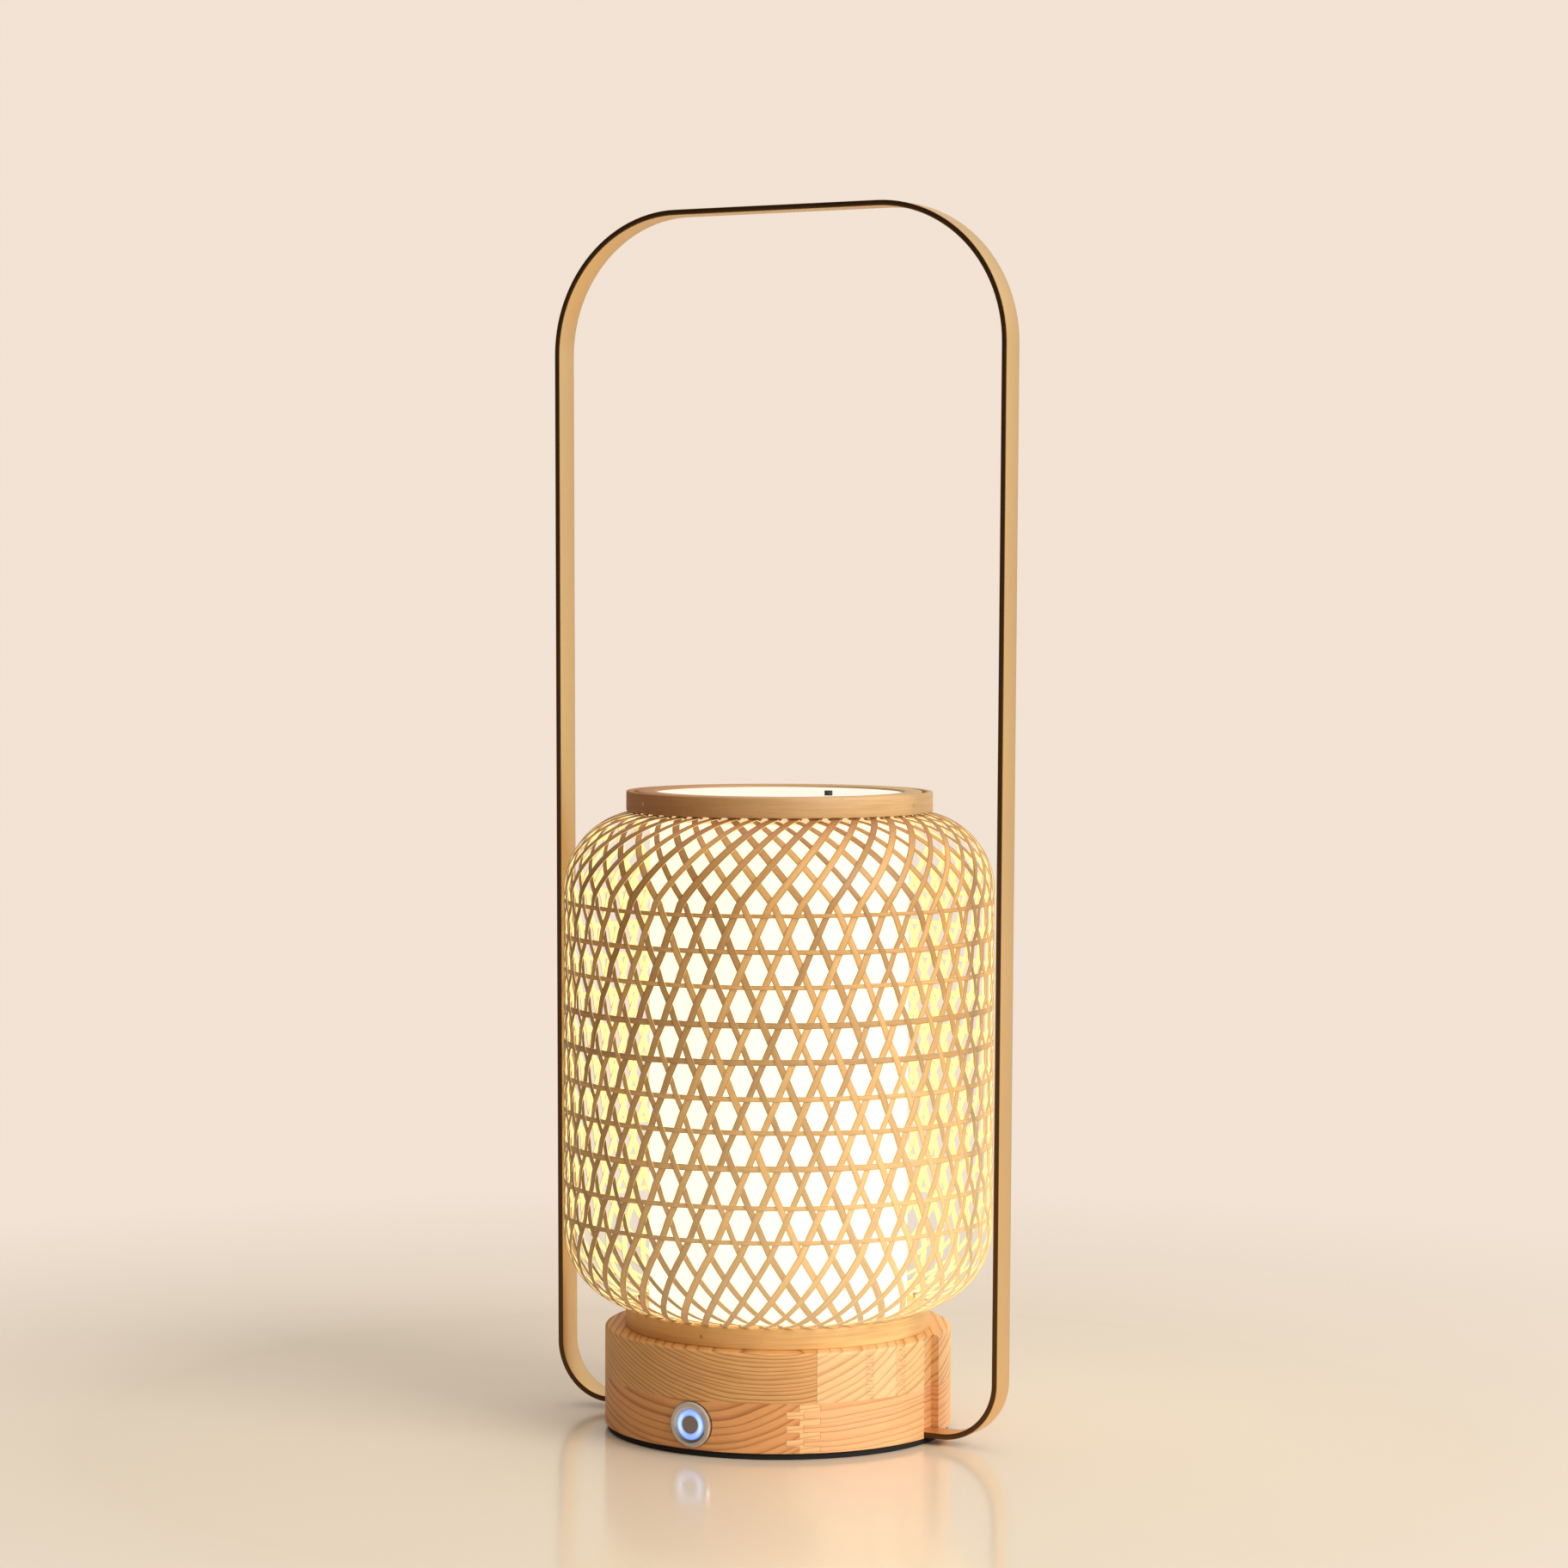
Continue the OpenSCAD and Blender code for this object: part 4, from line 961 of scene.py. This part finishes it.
class LAMP_OT_power(bpy.types.Operator):
    """Finishes the cells, the driver board, the wires and the charging socket"""

    bl_idname = "lamp.power"
    bl_label = "Power"

    def execute(self, context):
        paint("battery_cells", plain("cell sleeve", (0.05, 0.16, 0.35), 0.3))
        paint("battery_tray", plain("tray plastic", (0.03, 0.03, 0.03), 0.55))
        paint("driver_board", plain("green board", (0.03, 0.20, 0.08), 0.35))
        paint("driver_parts", plain("driver parts", (0.04, 0.04, 0.04), 0.4))
        paint("port_plate", plain("port plate", (0.025, 0.025, 0.025), 0.4))
        paint("led_leads", plain("red wire", (0.45, 0.02, 0.02), 0.45))
        paint("battery_leads", plain("black wire", (0.02, 0.02, 0.02), 0.45))
        paint("button_leads", plain("grey wire", (0.45, 0.45, 0.45), 0.45))
        return {"FINISHED"}


class LAMP_OT_stage(bpy.types.Operator):
    """Sets the plain floor, the soft lights and the camera"""

    bl_idname = "lamp.stage"
    bl_label = "Stage"

    def execute(self, context):
        s = context.scene.lamp_stage
        scene = context.scene
        self.floor(scene)
        self.world(scene)
        self.soft_light("key", (3.2, -0.7, 2.0), 2.2, 115.0, (1.0, 0.96, 0.89))
        self.soft_light("top", (-0.6, 0.8, 3.4), 2.4, 22.0, (1.0, 0.96, 0.90))
        yaw = s.azimuth + s.pan
        ahead = Vector((-math.sin(yaw) * math.cos(s.pitch), math.cos(yaw) * math.cos(s.pitch), -math.sin(s.pitch)))
        right = Vector((math.cos(yaw), math.sin(yaw), 0.0))
        up = right.cross(ahead)
        right2 = right * math.cos(s.roll) + up * math.sin(s.roll)
        up2 = up * math.cos(s.roll) - right * math.sin(s.roll)
        data = bpy.data.cameras.new("camera")
        data.sensor_width = SENSOR_WIDTH
        data.lens = s.focal / PHOTO_WIDTH * SENSOR_WIDTH
        data.clip_start, data.clip_end = 0.05, 60.0
        camera = bpy.data.objects.new("camera", data)
        turn = Matrix((right2, up2, -ahead)).transposed().to_4x4()
        spot = Vector((s.distance * math.sin(s.azimuth), -s.distance * math.cos(s.azimuth), s.height))
        camera.matrix_world = Matrix.Translation(spot) @ turn
        scene.collection.objects.link(camera)
        scene.camera = camera
        scene.view_settings.view_transform = "Standard"
        return {"FINISHED"}

    def floor(self, scene):
        """A wide plain floor"""
        mesh = bpy.data.meshes.new("floor")
        form = bmesh.new()
        bmesh.ops.create_grid(form, x_segments=1, y_segments=1, size=20.0)
        form.to_mesh(mesh)
        form.free()
        floor = bpy.data.objects.new("floor", mesh)
        scene.collection.objects.link(floor)

        def build(graph):
            where = place(graph)
            x, y, z = graph.split(where)
            far = (((x * x + y * y).fn("SQRT") - HAZE[0]) / HAZE[1]).clamp() ** 0.8
            far = far * graph.add("ShaderNodeLightPath").out("Is Camera Ray")
            tone = graph.noise(where, 3.0, 2.0)
            shade = graph.mix(tone, (0.75, 0.65, 0.53), (0.77, 0.67, 0.55))
            near = graph.surface(Base_Color=shade, Roughness=0.15)
            haze = graph.add("ShaderNodeEmission", None, Color=BACKDROP, Strength=1.0)
            return graph.add("ShaderNodeMixShader", None, far, near, haze)

        mesh.materials.append(finish("floor", build))

    def world(self, scene):
        """Soft light from all round, brighter from the right and behind"""
        world = bpy.data.worlds.new("studio")
        world.use_nodes = True
        world.node_tree.nodes.clear()
        graph = Graph(world.node_tree)
        x, y, z = graph.split(graph.add("ShaderNodeTexCoord").out("Generated"))
        side = (x * 0.75 + y * 0.35 + z * 0.55) * 0.5 + 0.5
        dim = ((x * -0.48 + y * -0.87 - 0.55) * 3.5).clamp()
        level = (0.18 + 0.78 * side.clamp()) * (1 - dim * 0.85)
        warmth = graph.mix(side.clamp(), (1.0, 0.82, 0.60), (1.0, 0.985, 0.95))
        light = graph.add("ShaderNodeBackground", None, Color=warmth, Strength=level)
        seen = graph.add("ShaderNodeBackground", None, Color=BACKDROP, Strength=1.0)
        ray = graph.add("ShaderNodeLightPath").out("Is Camera Ray")
        both = graph.add("ShaderNodeMixShader", None, ray, light, seen)
        graph.add("ShaderNodeOutputWorld", None, Surface=both)
        scene.world = world

    def soft_light(self, name, spot, size, power, colour):
        """A square soft light that faces the lamp"""
        data = bpy.data.lights.new(name, "AREA")
        data.size = size
        data.energy = power
        data.color = colour
        light = bpy.data.objects.new(name, data)
        light.location = spot
        light.rotation_mode = "QUATERNION"
        light.rotation_quaternion = (LIGHT_AIM - Vector(spot)).to_track_quat("-Z", "Y")
        bpy.context.scene.collection.objects.link(light)


class LAMP_PT_panel(bpy.types.Panel):
    """Lists the lamp's sizes, colours and pieces"""

    bl_idname = "LAMP_PT_panel"
    bl_label = "Lantern table lamp"
    bl_space_type = "VIEW_3D"
    bl_region_type = "UI"
    bl_category = "Lantern"

    def draw(self, context):
        layout = self.layout
        for operator in STEPS:
            layout.operator(operator.bl_idname)
        for group in GROUPS:
            column = layout.column(align=True)
            column.label(text=group.__doc__)
            settings = getattr(context.scene, GROUPS[group])
            for name in group.__annotations__:
                column.prop(settings, name)


GROUPS = {WeaveSizes: "lamp_weave", HoopSizes: "lamp_hoop", RingSizes: "lamp_rings", SpringSizes: "lamp_spring",
          LampColours: "lamp_colours", StageSizes: "lamp_stage"}
STEPS = [LAMP_OT_stage, LAMP_OT_hoop, LAMP_OT_weave, LAMP_OT_rings, LAMP_OT_base, LAMP_OT_diffuser,
         LAMP_OT_button, LAMP_OT_power]


def register():
    for group, name in GROUPS.items():
        bpy.utils.register_class(group)
        setattr(bpy.types.Scene, name, PointerProperty(type=group))
    for entry in STEPS + [LAMP_PT_panel]:
        bpy.utils.register_class(entry)


def unregister():
    for entry in reversed(STEPS + [LAMP_PT_panel]):
        bpy.utils.unregister_class(entry)
    for group, name in GROUPS.items():
        delattr(bpy.types.Scene, name)
        bpy.utils.unregister_class(group)


def main():
    """Makes every piece in order"""
    register()
    bpy.ops.lamp.stage()
    bpy.ops.lamp.hoop()
    bpy.ops.lamp.weave()
    bpy.ops.lamp.rings()
    bpy.ops.lamp.base()
    bpy.ops.lamp.diffuser()
    bpy.ops.lamp.button()
    bpy.ops.lamp.power()


if __name__ == "__main__":
    main()
